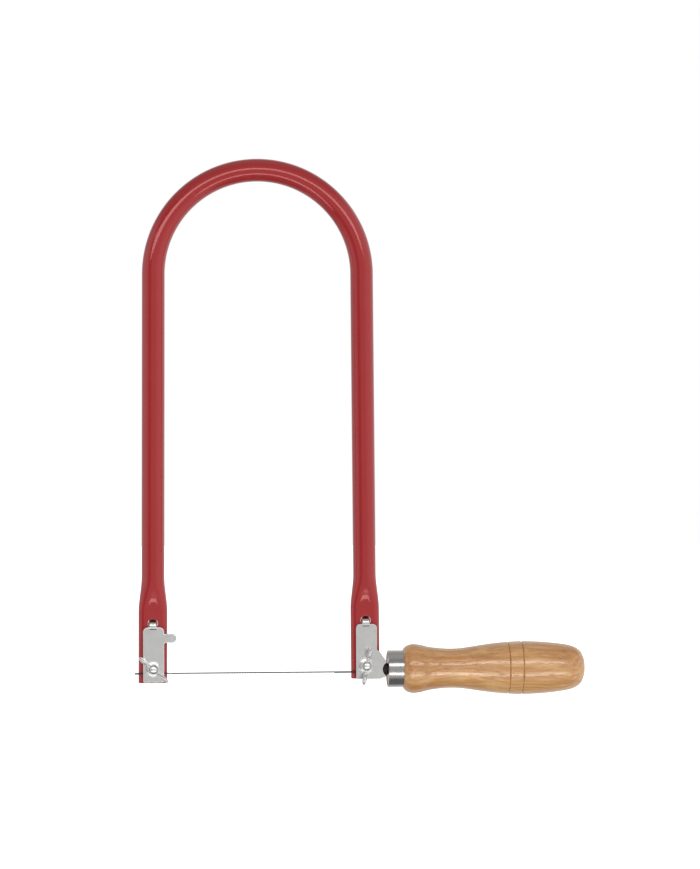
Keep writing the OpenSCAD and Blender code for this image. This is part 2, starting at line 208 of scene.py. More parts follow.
# %% [markdown]
# ## Shared effects
# Real finishes are uneven in a few ways that several of them share: a film of paint or zinc
# is mottled, edges and high spots are rubbed, and tools leave fine lines. The hollows are
# also given a mask, which some finishes darken as painted shade. Each effect is a node group
# with its own inputs, built once and placed in every material that needs it with its own
# values. A group puts out only masks and heights, and the Principled BSDF stays in the
# material.

# %% Start a group with named inputs and outputs
def new_group(name, inputs, outputs):
    tree = bpy.data.node_groups.new(name, "ShaderNodeTree")
    for label, value in inputs.items():
        tree.interface.new_socket(label, in_out="INPUT", socket_type="NodeSocketFloat")
        tree.interface.items_tree[-1].default_value = value
    for label in outputs:
        tree.interface.new_socket(label, in_out="OUTPUT", socket_type="NodeSocketFloat")
    source = tree.nodes.new("NodeGroupInput")
    sink = tree.nodes.new("NodeGroupOutput")
    fields = {label: Field(tree, source.outputs[label]) for label in inputs}
    return tree, fields, sink


def object_point(tree):
    return add_node(tree, "ShaderNodeTexCoord").outputs["Object"]


def noise(tree, vector, scale, detail=2.0, roughness=0.5):
    node = add_node(
        tree,
        "ShaderNodeTexNoise",
        {"Vector": vector, "Scale": scale, "Detail": detail, "Roughness": roughness},
    )
    return Field(tree, node.outputs["Fac"])


print("group helpers ready")

# %% Mottled film, rubbed edges, painted shade in hollows and tool lines
def uneven_film():
    """Clouds of lighter and darker film, and the small waves of its surface."""
    tree, given, sink = new_group(
        "Uneven film", {"Cloud scale": 150, "Wave scale": 700}, ["Cloud", "Wave"]
    )
    point = object_point(tree)
    feed(tree, sink.inputs["Cloud"], noise(tree, point, given["Cloud scale"], 4.0, 0.6))
    feed(tree, sink.inputs["Wave"], noise(tree, point, given["Wave scale"], 1.0))
    return tree


def rubbed_edges_and_hollow_shade():
    """A mask of raised edges, broken up so that no edge is rubbed evenly, and one of hollows for
    painted shade.
    """
    tree, given, sink = new_group(
        "Rubbed edges and hollow shade", {"Reach": 0.06, "Patch scale": 500}, ["Raised", "Sunken"]
    )
    bend = Field(tree, add_node(tree, "ShaderNodeNewGeometry").outputs["Pointiness"])
    patches = noise(tree, object_point(tree), given["Patch scale"], 3.0)
    raised = ((bend - 0.5) / given["Reach"]).clamp(0, 1)
    # The hollows' mask, used for painted shade.
    sunken = ((0.5 - bend) / given["Reach"]).clamp(0, 1)
    feed(tree, sink.inputs["Raised"], raised * (patches * 1.6 - 0.2).clamp(0, 1))
    feed(tree, sink.inputs["Sunken"], sunken)
    return tree


def tool_lines():
    """Fine lines left by a tool, drawn out along the axes with small scales."""
    tree, given, sink = new_group(
        "Tool lines", {"Scale X": 100, "Scale Y": 100, "Scale Z": 100}, ["Line"]
    )
    x, y, z = split(tree, object_point(tree))
    stretched = joined(
        tree, x * given["Scale X"], y * given["Scale Y"], z * given["Scale Z"]
    )
    feed(tree, sink.inputs["Line"], noise(tree, stretched, 1.0, 3.0, 0.65))
    return tree


FILM = uneven_film()
EDGES = rubbed_edges_and_hollow_shade()
LINES = tool_lines()
print("effects:", [group.name for group in (FILM, EDGES, LINES)])

# %% [markdown]
# ## Finishes
# Each finish is one material with one Principled BSDF. Numbers that are the same all over
# are set on the shader's own sockets, and only what changes over the surface is linked. A
# colour is built as it is in life: a first one, and others laid over it through masks.

# %% Helpers for finishes
class Finish:
    """A material with its node tree and its shader, and the ways to work on them."""

    def __init__(self, name, **constants):
        self.material = bpy.data.materials.new(name)
        self.material.use_nodes = True
        self.tree = self.material.node_tree
        self.shader = self.tree.nodes["Principled BSDF"]
        for label, value in constants.items():
            self.feed(label.replace("_", " "), value)

    def feed(self, label, value):
        feed(self.tree, self.shader.inputs[label], value)

    def place(self, group, **inputs):
        """Puts a group in the tree; its outputs come back as fields by name."""
        node = add_node(self.tree, "ShaderNodeGroup")
        node.node_tree = group
        for label, value in inputs.items():
            node.inputs[label.replace("_", " ")].default_value = value
        return {socket.name: Field(self.tree, socket) for socket in node.outputs}

    def paint(self, colour, *layers):
        """A first colour, with the colour of each layer laid over it through its mask."""
        colour = (*colour, 1)
        for mask, over in layers:
            mix = add_node(self.tree, "ShaderNodeMix")
            mix.data_type = "RGBA"
            first, second = [s for s in mix.inputs if s.type == "RGBA"]
            feed(self.tree, mix.inputs["Factor"], mask)
            feed(self.tree, first, colour)
            feed(self.tree, second, (*over, 1))
            colour = [s for s in mix.outputs if s.type == "RGBA"][0]
        self.feed("Base Color", colour)

    def bump(self, height, strength, depth, socket="Normal"):
        inputs = {"Strength": strength, "Distance": depth, "Height": height}
        self.feed(socket, add_node(self.tree, "ShaderNodeBump", inputs).outputs["Normal"])


def above(field, start, steepness):
    """How far a field is above a start, from 0 to 1."""
    return ((field - start) * steepness).clamp(0, 1)


print("finish helpers ready")

# %% [markdown]
# ### Red enamel
# The tube is sprayed with a gloss enamel. It could be a plain red with low roughness, but
# the photograph shows a deep colour under a clear, wet-looking skin, and its highlights are
# a warm pink, not white. So a thin clear coat carries part of the reflection, and the red
# under it mirrors the rest through the shader's specular tint. Very low waves in the film
# make the long highlights waver a little, as sprayed paint does.

# %% Red enamel on the tube, the bare inside of it, and the rims with a painted highlight
def red_enamel():
    made = Finish(
        "red_enamel", Roughness=0.08, Specular_IOR_Level=0.7, Coat_Weight=0.45,
        Coat_Roughness=0.06, Specular_Tint=(1.0, 0.42, 0.38, 1.0),
    )
    film = made.place(FILM, Cloud_scale=60, Wave_scale=650)
    edges = made.place(EDGES, Reach=0.08, Patch_scale=600)
    made.paint(
        (0.365, 0.0205, 0.0245),
        (film["Cloud"], (0.405, 0.0295, 0.0335)),
        (edges["Raised"] * 0.35, (0.52, 0.09, 0.10)),
    )
    made.bump(film["Wave"], 0.012, 0.0004)
    return made.material


def bare_bore():
    made = Finish("bare_bore", Roughness=0.55)
    film = made.place(FILM, Cloud_scale=300, Wave_scale=1500)
    made.paint((0.75, 0.33, 0.28), (film["Cloud"], (0.86, 0.45, 0.40)))
    made.bump(film["Wave"], 0.4, 0.0002)
    return made.material


def rim_with_side_highlight():
    """The punched rim of a hook hole: painted red, and pale pinkish steel where it faces
    sideways. The steel is partly wear and partly a painted highlight for the bright crescents at
    the hole's sides.
    """
    made = Finish("rim_with_side_highlight", Roughness=0.28)
    normal = add_node(made.tree, "ShaderNodeNewGeometry").outputs["Normal"]
    across, _, up = split(made.tree, normal)
    sideways = across.math("ABSOLUTE") / (across * across + up * up + 0.001).math("SQRT")
    film = made.place(FILM, Cloud_scale=900, Wave_scale=2500)
    # Painted highlight: the rim turns to pale pinkish steel only where it faces sideways.
    bare = above(sideways + film["Cloud"] * 0.2, 0.75, 5)
    made.paint((0.30, 0.03, 0.03), (bare, (0.92, 0.76, 0.73)))
    made.feed("Metallic", bare)
    made.bump(film["Wave"], 0.3, 0.0001)
    return made.material


RED_ENAMEL = red_enamel()
BARE_BORE = bare_bore()
RIM_WITH_SIDE_HIGHLIGHT = rim_with_side_highlight()
print("bow:", [finish.name for finish in (RED_ENAMEL, BARE_BORE, RIM_WITH_SIDE_HIGHLIGHT)])

# %% [markdown]
# ### Bright zinc
# The plates, bolts, washers and wing nuts are steel with a bright zinc plating. It mirrors
# the room, but softly and unevenly: the film is faintly mottled, the small pieces have
# brighter edges where they were tumbled, and their hollows are darkened with painted shade.
# One function makes all three kinds of it, because they differ only in its inputs: how
# bright, how rough and how wavy the zinc is, and whether its edges are rubbed and its
# hollows shaded.

# %% Zinc plating, with its own roughness for each kind of piece
def bright_zinc(name, dark, light, smooth, rough, cloud_scale, wave_strength, rubbed):
    """Rubbed plating and the painted shade in its hollows need a mesh of small faces, because
    both go by how they bend.
    """
    made = Finish(name, Metallic=1.0)
    film = made.place(FILM, Cloud_scale=cloud_scale, Wave_scale=cloud_scale * 6)
    layers = [(film["Cloud"], light)]
    if rubbed:
        edges = made.place(EDGES, Reach=0.07, Patch_scale=900)
        layers.append((edges["Raised"] * 0.6, (0.92, 0.92, 0.90)))
        # Painted shade: the hollows, such as the thread's grooves, are darkened.
        layers.append((edges["Sunken"] * 0.6, (0.30, 0.29, 0.28)))
    made.paint(dark, *layers)
    made.feed("Roughness", film["Cloud"] * (rough - smooth) + smooth)
    made.bump(film["Wave"], wave_strength, 0.0001)
    return made.material


PLATE_ZINC = bright_zinc(
    "zinc_on_plate", (0.85, 0.85, 0.835), (0.99, 0.985, 0.97),
    smooth=0.12, rough=0.24, cloud_scale=190, wave_strength=0.05, rubbed=False,
)
BOLT_ZINC = bright_zinc(
    "zinc_on_bolt", (0.80, 0.80, 0.79), (0.90, 0.90, 0.89),
    smooth=0.20, rough=0.34, cloud_scale=400, wave_strength=0.06, rubbed=True,
)
NUT_ZINC = bright_zinc(
    "zinc_on_nut", (0.70, 0.70, 0.69), (0.86, 0.86, 0.85),
    smooth=0.22, rough=0.36, cloud_scale=350, wave_strength=0.14, rubbed=True,
)
print("zinc:", [finish.name for finish in (PLATE_ZINC, BOLT_ZINC, NUT_ZINC)])

# %% [markdown]
# ### Blade, tang and ferrule
# The blade is hardened steel, left dark. The tang is a forging, coloured nearly black. The
# same black lines the crease across each plate's tongue, where it is painted shade. The
# ferrule is drawn from bright sheet and polished on the lathe, so its lines run round it:
# they change along X and hardly at all along Y and Z.

# %% Dark blade, black finish with painted crease shade, and turned ferrule
def dark_blade():
    made = Finish("dark_blade", Metallic=0.85)
    line = made.place(LINES, Scale_X=150, Scale_Y=3000, Scale_Z=6000)["Line"]
    made.paint((0.015, 0.015, 0.016), (line, (0.07, 0.07, 0.073)))
    made.feed("Roughness", line * 0.3 + 0.28)
    return made.material


def black_finish_and_crease_shade():
    made = Finish("black_finish_and_crease_shade", Metallic=0.5)
    film = made.place(FILM, Cloud_scale=350, Wave_scale=900)
    edges = made.place(EDGES, Reach=0.06, Patch_scale=700)
    made.paint(
        (0.008, 0.008, 0.008),
        (film["Cloud"], (0.035, 0.033, 0.03)),
        (edges["Raised"] * 0.5, (0.16, 0.155, 0.15)),
    )
    made.feed("Roughness", film["Cloud"] * 0.35 + 0.3)
    made.bump(film["Wave"], 0.5, 0.0003)
    return made.material


def turned_ferrule():
    made = Finish("turned_ferrule", Metallic=1.0)
    line = made.place(LINES, Scale_X=9000, Scale_Y=60, Scale_Z=60)["Line"]
    film = made.place(FILM, Cloud_scale=220, Wave_scale=900)
    made.paint((0.50, 0.485, 0.465), (film["Cloud"], (0.58, 0.565, 0.545)))
    made.feed("Roughness", film["Cloud"] * 0.1 + 0.12)
    made.bump(line, 0.25, 0.00004)
    return made.material


DARK_BLADE = dark_blade()
BLACK_FINISH_AND_CREASE_SHADE = black_finish_and_crease_shade()
TURNED_FERRULE = turned_ferrule()
print("steel:", [finish.name for finish in (DARK_BLADE, BLACK_FINISH_AND_CREASE_SHADE, TURNED_FERRULE)])

# %% [markdown]
# ### Lacquered wood
# The handle is turned from a pale, close-grained wood and dipped in clear lacquer. The grain
# runs along the handle. Growth rings are tubes round the tree's heart, which lies outside
# the handle, so they are drawn as distance from a line beside it, bent by noise. Fine pores
# are short dashes along X. The lacquer is the shader's coat, smoother than the wood, and
# the pores still show in it as small dents.

# %% Pale wood under lacquer
HEART_Y = 0.055
HEART_Z = -0.040
RINGS_PER_METRE = 380
RING_DRIFT = 11


def grain(tree, point, along, across, detail, roughness=0.5):
    """Noise drawn out along the handle."""
    x, y, z = point
    vector = joined(tree, x * along, y * across, z * across)
    return noise(tree, vector, 1.0, detail, roughness)


def lacquered_wood():
    made = Finish(
        "wood_under_lacquer", Coat_Weight=1.0, Coat_Roughness=0.15, Coat_IOR=1.85,
        Specular_IOR_Level=0.2,
    )
    tree = made.tree
    point = split(tree, object_point(tree))
    drift = grain(tree, point, 14, 60, 3.0)
    across_y = point[1] - HEART_Y
    across_z = point[2] - HEART_Z
    distance = (across_y * across_y + across_z * across_z).math("SQRT")
    band = (distance * RINGS_PER_METRE + drift * RING_DRIFT).math("FRACT")
    late_wood = band * band * band * (1 - band) * 8
    streak = grain(tree, point, 17, 430, 5.0, 0.7)
    fibre = grain(tree, point, 45, 1500, 3.0, 0.6)
    dash = grain(tree, point, 75, 1800, 2.0)
    pores = above(dash, 0.57, 10) * above(streak + drift, 0.9, 4)
    # The hollows, such as the grooves, are darkened: partly dirt, partly painted shade.
    cut = made.place(EDGES, Reach=0.05, Patch_scale=400)["Sunken"]
    made.paint(
        (0.92, 0.555, 0.225),
        (above(drift, 0.34, 3.2), (0.64, 0.30, 0.09)),
        (late_wood * 0.5, (0.50, 0.195, 0.048)),
        (above(streak, 0.5, 5) * 0.65, (0.47, 0.175, 0.045)),
        (above(1 - streak, 0.55, 7) * 0.6, (0.98, 0.63, 0.29)),
        (above(fibre, 0.5, 6) * 0.45, (0.50, 0.20, 0.055)),
        (cut * 0.75, (0.24, 0.09, 0.03)),
        (pores * 0.6, (0.25, 0.085, 0.025)),
    )
    made.feed("Roughness", streak * 0.3 + 0.32)
    height = streak * 0.6 + fibre * 0.4 - pores * 0.6
    made.bump(height, 0.4, 0.0003)
    made.bump(height, 0.35, 0.0003, "Coat Normal")
    return made.material


LACQUERED_WOOD = lacquered_wood()
print("wood nodes:", len(LACQUERED_WOOD.node_tree.nodes))

# %% [markdown]
# ## Mesh helpers
# Turned pieces are lathed from an outline of distances and radii. Holes and joints between
# shapes are exact booleans. Every finished piece ends as one plain mesh with its place in
# the mesh itself, which is what the frame expects.

# %% Helpers for meshes
MERGE_DISTANCE = 1e-7
SHARP_ANGLE = math.radians(32)
FORWARDS = Matrix.Rotation(math.radians(90), 4, "X")
ALONG_HANDLE = Matrix.Rotation(math.radians(90), 4, "Y")


def new_piece(name, shape, finish):
    """Turns a bmesh into an object, with doubles merged and faces outward."""
    bmesh.ops.remove_doubles(shape, verts=shape.verts, dist=MERGE_DISTANCE)
    bmesh.ops.recalc_face_normals(shape, faces=shape.faces)
    mesh = bpy.data.meshes.new(name)
    shape.to_mesh(mesh)
    shape.free()
    mesh.materials.append(finish)
    return new_object(name, mesh)


def modify(piece, kind, **settings):
    step = piece.modifiers.new(kind, kind)
    for key, value in settings.items():
        setattr(step, key, value)
    return step


def apply_modifiers(piece):
    graph = bpy.context.evaluated_depsgraph_get()
    mesh = bpy.data.meshes.new_from_object(piece.evaluated_get(graph))
    piece.modifiers.clear()
    piece.data = mesh
    return piece


def rounded(piece, width, steps=3):
    modify(piece, "BEVEL", width=width, segments=steps, limit_method="ANGLE")
    return apply_modifiers(piece)


def combine(piece, operation, *others):
    exact = {"operation": operation, "solver": "EXACT", "material_mode": "TRANSFER"}
    for other in others:
        modify(piece, "BOOLEAN", **exact, object=other)
    apply_modifiers(piece)
    for other in others:
        bpy.data.objects.remove(other)
    return piece


def set_at(piece, place, turn=Matrix()):
    """Turns a piece's mesh about the origin and moves it to its place."""
    piece.data.transform(Matrix.Translation(place) @ turn)
    return piece


def hand_over(piece, body, node):
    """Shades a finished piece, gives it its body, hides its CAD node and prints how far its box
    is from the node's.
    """
    piece.data.polygons.foreach_set("use_smooth", [True] * len(piece.data.polygons))
    piece.data.set_sharp_from_angle(angle=SHARP_ANGLE)
    modify(piece, "WEIGHTED_NORMAL", keep_sharp=True)
    apply_modifiers(piece)
    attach(piece, body)
    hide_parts(node)
    low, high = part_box(node)
    corners = [Vector(corner) for corner in piece.bound_box]
    off = max(
        max(abs(min(c[k] for c in corners) - low[k]), abs(max(c[k] for c in corners) - high[k]))
        for k in range(3)
    )
    print(piece.name, len(piece.data.polygons), "faces, box off by", round(off / MM, 2), "mm")


def skin_rows(shape, rows):
    """Faces between rows of points that each go round once."""
    for low, high in zip(rows, rows[1:]):
        for k in range(len(low)):
            after = (k + 1) % len(low)
            shape.faces.new((low[k], low[after], high[after], high[k]))


def lathe(name, outline, finish, around=64, ring=False):
    """A turned shape round Z. A ring's outline closes on itself, any other ends at radius 0."""
    shape = bmesh.new()
    angles = [math.tau * k / around for k in range(around)]
    rows = [
        [shape.verts.new((r * math.cos(a), r * math.sin(a), z)) for a in angles]
        for z, r in outline
    ]
    skin_rows(shape, rows + rows[:1] if ring else rows)
    return new_piece(name, shape, finish)


def rod(place, radius, start, end, finish, around=48):
    """A rod along a bolt's axis, used to cut a hole."""
    outline = [(start, 0), (start, radius), (end, radius), (end, 0)]
    return set_at(lathe("rod", outline, finish, around), place, FORWARDS)


def block(name, low, high, finish):
    """A plain block, used to cut or to be worked on further."""
    shape = bmesh.new()
    bmesh.ops.create_cube(shape, size=1)
    centre = [(a + b) / 2 for a, b in zip(low, high)]
    size = [b - a for a, b in zip(low, high)]
    bmesh.ops.scale(shape, vec=size, verts=shape.verts)
    bmesh.ops.translate(shape, vec=centre, verts=shape.verts)
    return new_piece(name, shape, finish)


def slab(outline, front, thickness):
    """An outline in X and Z, grown along Y: the bmesh and its front face."""
    shape = bmesh.new()
    face = shape.faces.new([shape.verts.new((x, front, z)) for x, z in outline])
    grown = bmesh.ops.extrude_face_region(shape, geom=[face])
    far = [v for v in grown["geom"] if isinstance(v, bmesh.types.BMVert)]
    bmesh.ops.translate(shape, vec=(0, thickness, 0), verts=far)
    return shape, face


def arc(centre, radius, start, end, steps):
    """Points on an arc in the plane, with angles in degrees."""
    angles = [math.radians(start + (end - start) * k / steps) for k in range(steps + 1)]
    return [
        (centre[0] + radius * math.cos(a), centre[1] + radius * math.sin(a)) for a in angles
    ]


print("mesh helpers ready")

# %% Helpers for Geometry Nodes
def new_shape_tree(name, sizes, counts):
    """A Geometry Nodes tree with named sizes and counts, and their fields by name."""
    tree = bpy.data.node_groups.new(name, "GeometryNodeTree")
    tree.interface.new_socket("Geometry", in_out="OUTPUT", socket_type="NodeSocketGeometry")
    for kind, labels in (("Float", sizes), ("Int", counts)):
        for label in labels:
            tree.interface.new_socket(label, in_out="INPUT", socket_type="NodeSocket" + kind)
    source = add_node(tree, "NodeGroupInput")
    return tree, {label: Field(tree, source.outputs[label]) for label in (*sizes, *counts)}


def grid(tree, rows, columns):
    """A grid whose points lie one unit apart, and the row and column of each point."""
    counts = {"Vertices X": rows, "Vertices Y": columns}
    lengths = {"Size X": rows - 1, "Size Y": columns - 1}
    node = add_node(tree, "GeometryNodeMeshGrid", lengths | counts)
    x, y, _ = split(tree, add_node(tree, "GeometryNodeInputPosition").outputs[0])
    return node.outputs["Mesh"], x + (rows - 1) / 2, y + (columns - 1) / 2


def moved(tree, mesh, x, y, z):
    inputs = {"Geometry": mesh, "Position": joined(tree, x, y, z)}
    return add_node(tree, "GeometryNodeSetPosition", inputs).outputs["Geometry"]


def end_tree(tree, mesh, finish):
    """Merges what meets, makes instances real and gives the mesh its finish. Merges
    what meets, and ends the tree as the export needs it.
    """
    for kind, settings in (
        ("MergeByDistance", {"Distance": MERGE_DISTANCE}),
        ("RealizeInstances", {}),
        ("SetMaterial", {"Material": finish}),
    ):
        node = add_node(tree, "GeometryNode" + kind, {"Geometry": mesh} | settings)
        mesh = node.outputs[0]
    add_node(tree, "NodeGroupOutput", {"Geometry": mesh})


def grow(name, tree, values, finish):
    """Runs a tree with its sizes and keeps the result as a plain mesh."""
    piece = new_object(name, bpy.data.meshes.new(name))
    step = modify(piece, "NODES", node_group=tree)
    for item in tree.interface.items_tree:
        if item.in_out == "INPUT":
            step[item.identifier] = values[item.name]
    apply_modifiers(piece)
    shape = bmesh.new()
    shape.from_mesh(piece.data)
    for face in shape.faces:
        face.material_index = 0
    bpy.data.objects.remove(piece)
    return new_piece(name, shape, finish)


print("shape helpers ready")

# %% [markdown]
# ## The bow
# The bow is one steel tube. It is bent into a half circle, and both ends are pressed flat
# for the clamps. It could be a curve with a round bevel, but a bevel can't turn from round
# to flat on its way. Here a grid is wrapped by a rule instead: one direction runs from foot
# to foot and the other round the section, and the section's rule blends from a circle to a
# flat-sided oval over the length that the press squeezed. The same tree, set in by the wall
# and longer at its ends, makes the bore.

# %% The rule of the bow
TUBE_D = 12.5 * MM
TUBE_WALL = 1.25 * MM
SPLAY = math.radians(0.3)
FLAT_W = 15.8 * MM
FLAT_T = 6.7 * MM
HALF_FLAT = (FLAT_W - FLAT_T) / 2
TAPER_L = 20 * MM
FLAT_RISE = 30.7 * MM
FOOT_EDGE_R = 0.35 * MM
FOOT_EDGE_ROWS = 4
FLAT_ROWS = 14
TAPER_ROWS = 60
ARM_ROWS = 20
BEND_ROWS = 200
ALL_ROWS = 2 * (FLAT_ROWS + TAPER_ROWS + ARM_ROWS + FOOT_EDGE_ROWS) + BEND_ROWS + 3
PRESS_APEX = 6.9 * MM
PRESS_FALL = 1.3
PRESS_FOOT = 1.2 * MM
PRESS_W = 2 * MM
PRESS_STEP = 0.15 * MM


def bow_tree():
    sizes = ["Bend radius", "Bend height", "Front arm", "Rear arm", "Front flat",
             "Rear flat", "Taper", "Inset", "Foot edge", "Softness"]
    tree, size = new_shape_tree("Bow tube", sizes, ["Columns"])
    mesh, row, column = grid(tree, ALL_ROWS, size["Columns"])
    last = ALL_ROWS - 1

    # The first and last rows close the ends, and the rows next to them round the feet
    open_end = row.math("GREATER_THAN", 0.5) * row.math("LESS_THAN", last - 0.5)
    from_front = (row - 1).clamp(0, last - 2)
    from_rear = (last - 1 - row).clamp(0, last - 2)
    quarter = math.pi / 2 / FOOT_EDGE_ROWS
    front_turn = from_front.math("MINIMUM", FOOT_EDGE_ROWS) * quarter
    rear_turn = from_rear.math("MINIMUM", FOOT_EDGE_ROWS) * quarter
    edge = size["Foot edge"]
    inset = size["Inset"] + edge * (1 - front_turn.math("SINE") * rear_turn.math("SINE"))

    # How far along the path each row is, from the top of the bend: rows lie close together
    # only where the tube changes its shape
    half_arc = size["Bend radius"] * (math.pi / 2 - SPLAY)
    front_end = -(half_arc + size["Front arm"])
    rear_end = half_arc + size["Rear arm"]

    def leg(side):
        flat = size[side + " flat"]
        arm = size[side + " arm"] - flat - size["Taper"]
        return [(flat - edge, FLAT_ROWS), (size["Taper"], TAPER_ROWS), (arm, ARM_ROWS)]

    along = front_end + edge
    passed = FOOT_EDGE_ROWS
    for length, rows in (*leg("Front"), (half_arc * 2, BEND_ROWS), *reversed(leg("Rear"))):
        along = along + (from_front - passed).clamp(0, rows) * (length / rows)
        passed += rows
    along = along - edge * front_turn.math("COSINE") + edge * rear_turn.math("COSINE")

    # The section: round in the bend, a flat-sided oval at the feet
    front_way = along - front_end - size["Front flat"]
    rear_way = rear_end - along - size["Rear flat"]
    way = front_way.math("MINIMUM", rear_way)
    eased = smooth_step((way / size["Taper"]).clamp(0, 1))
    half_flat = (1 - eased) * HALF_FLAT
    radius = (eased * (TUBE_D - FLAT_T) + FLAT_T) / 2 - inset
    angle = (column + 0.5) * math.tau / (size["Columns"] - 1)
    cosine = angle.math("COSINE")
    softness = size["Softness"]
    side = cosine * (1 + softness) / (cosine.math("ABSOLUTE") + softness)
    across = side * half_flat + cosine * radius
    outwards = across * open_end

    # The press leaves a low, pointed step where its flat tool ends
    edge_way = (PRESS_APEX - across.math("ABSOLUTE") * PRESS_FALL).math("MAXIMUM", PRESS_FOOT)
    step = smooth_step(((way - edge_way) / PRESS_W).clamp(0, 1)) * (1 - eased) * PRESS_STEP
    sideways = angle.math("SINE") * (radius + step) * open_end

    # The path: an arc, and straight arms that lean outwards a little on their way down
    on_arc = along.math("MAXIMUM", -half_arc).math("MINIMUM", half_arc)
    direction = (math.pi / 2) - on_arc / size["Bend radius"]
    down = (along.math("ABSOLUTE") - half_arc).math("MAXIMUM", 0)
    reach = outwards + size["Bend radius"]
    x = reach * direction.math("COSINE") + along.math("SIGN") * down * math.sin(SPLAY)
    z = reach * direction.math("SINE") + size["Bend height"] - down * math.cos(SPLAY)
    end_tree(tree, moved(tree, mesh, x, sideways, z), RED_ENAMEL)
    return tree


BOW_TREE = bow_tree()
print("bow tree:", len(BOW_TREE.nodes), "nodes")

# %% [markdown]
# The sizes come from the frame where it holds them: the top of the bow, the feet and the
# bolts. The bend's radius is what lets both arms lean by their angle and still pass through
# the bolts.

# %% Grow the tube and its bore
BOW_LOW, BOW_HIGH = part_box("bow_tube")
TOP_Z = BOW_HIGH.z - TUBE_D / 2
BEND_R = (REAR_BOLT.x * math.cos(SPLAY) - TOP_Z * math.sin(SPLAY)) / (1 - math.sin(SPLAY))
BEND_Z = TOP_Z - BEND_R
FRONT_TAIL = 7.9 * MM
REAR_TAIL = 7.3 * MM
BORE_OVER = 2 * MM
SKIN_SOFTNESS = 0.12
BORE_SOFTNESS = 1e-6


def arm_length(bolt, tail):
    return (BEND_Z - bolt.z + BEND_R * math.sin(SPLAY)) / math.cos(SPLAY) + tail


def grow_tube(name, inset, over, foot_edge, softness, columns, finish):
    values = {
        "Bend radius": BEND_R,
        "Bend height": BEND_Z,
        "Front arm": arm_length(FRONT_BOLT, FRONT_TAIL) + over,
        "Rear arm": arm_length(REAR_BOLT, REAR_TAIL) + over,
        "Front flat": FRONT_TAIL + FLAT_RISE + over,
        "Rear flat": REAR_TAIL + FLAT_RISE + over,
        "Taper": TAPER_L,
        "Inset": inset,
        "Foot edge": foot_edge,
        "Softness": softness,
        "Columns": columns,
    }
    return grow(name, BOW_TREE, values, finish)


bow = grow_tube("bow_skin", 0.0, 0.0, FOOT_EDGE_R, SKIN_SOFTNESS, 121, RED_ENAMEL)
bore = grow_tube("bow_bore", TUBE_WALL, BORE_OVER, 0.0, BORE_SOFTNESS, 49, BARE_BORE)
print("bend radius", round(BEND_R / MM, 2), "mm, skin", len(bow.data.polygons), "faces")

# %% [markdown]
# The holes are cut next. The hook hole has a rounded lip, because the press pushed the tube
# in round it: its cutter is lathed with a flare that is a quarter of a circle. The flare
# stops just short of level, so that it never lies exactly in the tube's face, where an
# exact boolean would have to guess which side is which.

# %% Cut the hook holes, the bolt holes and the tang's slot
HOOK_HOLE_R = 2.25 * MM
HOOK_HOLE_Z = 24.7 * MM
HOOK_LIP_R = 0.75 * MM
BOLT_HOLE_R = 2.15 * MM
NECK_HALF = 2.03 * MM
SLOT_HALF_T = 1.87 * MM
SLOT_HIGH = 5.25 * MM


def hook_cutter(bolt):
    lip = arc((HOOK_HOLE_R + HOOK_LIP_R, FLAT_T / 2 - HOOK_LIP_R), HOOK_LIP_R, 180, 98, 8)
    flare = [(depth, radius) for radius, depth in lip]
    widest = flare[-1][1]
    outline = [(0, 0), (0, HOOK_HOLE_R), *flare, (FLAT_T, widest), (FLAT_T, 0)]
    cutter = lathe("hook_cutter", outline, RIM_WITH_SIDE_HIGHLIGHT, 96)
    return set_at(cutter, (bolt.x, 0, bolt.z + HOOK_HOLE_Z), FORWARDS)


def neck_cutter(bolt):
    low = (bolt.x - NECK_HALF, 0, bolt.z - NECK_HALF)
    high = (bolt.x + NECK_HALF, FLAT_T, bolt.z + NECK_HALF)
    return block("neck_cutter", low, high, BARE_BORE)


slot = block(
    "slot_cutter",
    (REAR_BOLT.x + HALF_FLAT, -SLOT_HALF_T, BOW_LOW.z - BORE_OVER),
    (REAR_BOLT.x + FLAT_W, SLOT_HALF_T, SLOT_HIGH),
    BARE_BORE,
)
combine(bow, "DIFFERENCE", bore, slot)
combine(bow, "DIFFERENCE", *(hook_cutter(bolt) for bolt in BOLTS.values()))
cutters = []
for bolt in BOLTS.values():
    cutters += [rod(bolt, BOLT_HOLE_R, 0, FLAT_T, BARE_BORE), neck_cutter(bolt)]
combine(bow, "DIFFERENCE", *cutters)
hand_over(bow, "bow", "bow_tube")

# %% [markdown]
# ## The blade
# A fret saw blade is a strip hardly thicker than a fingernail, with fine teeth along its
# lower edge and plain ends for the clamps. The teeth repeat, so they follow a rule too. Each
# tooth is three points of a grid's lower row: a gullet's start, its end, and the point.
# Every second tooth leans to the other side, which is called its set and lets the blade
# turn in its own cut. The strip is then extruded to its thickness.

# %% Grow the blade
TOOTH_PITCH = 1.4 * MM
TOOTH_DEPTH = 0.32 * MM
TOOTH_SET = 0.05 * MM
PLAIN_END = 20 * MM
POINTS_PER_TOOTH = 3
GULLET_SHARE = 0.3
POINT_SHARE = 0.85


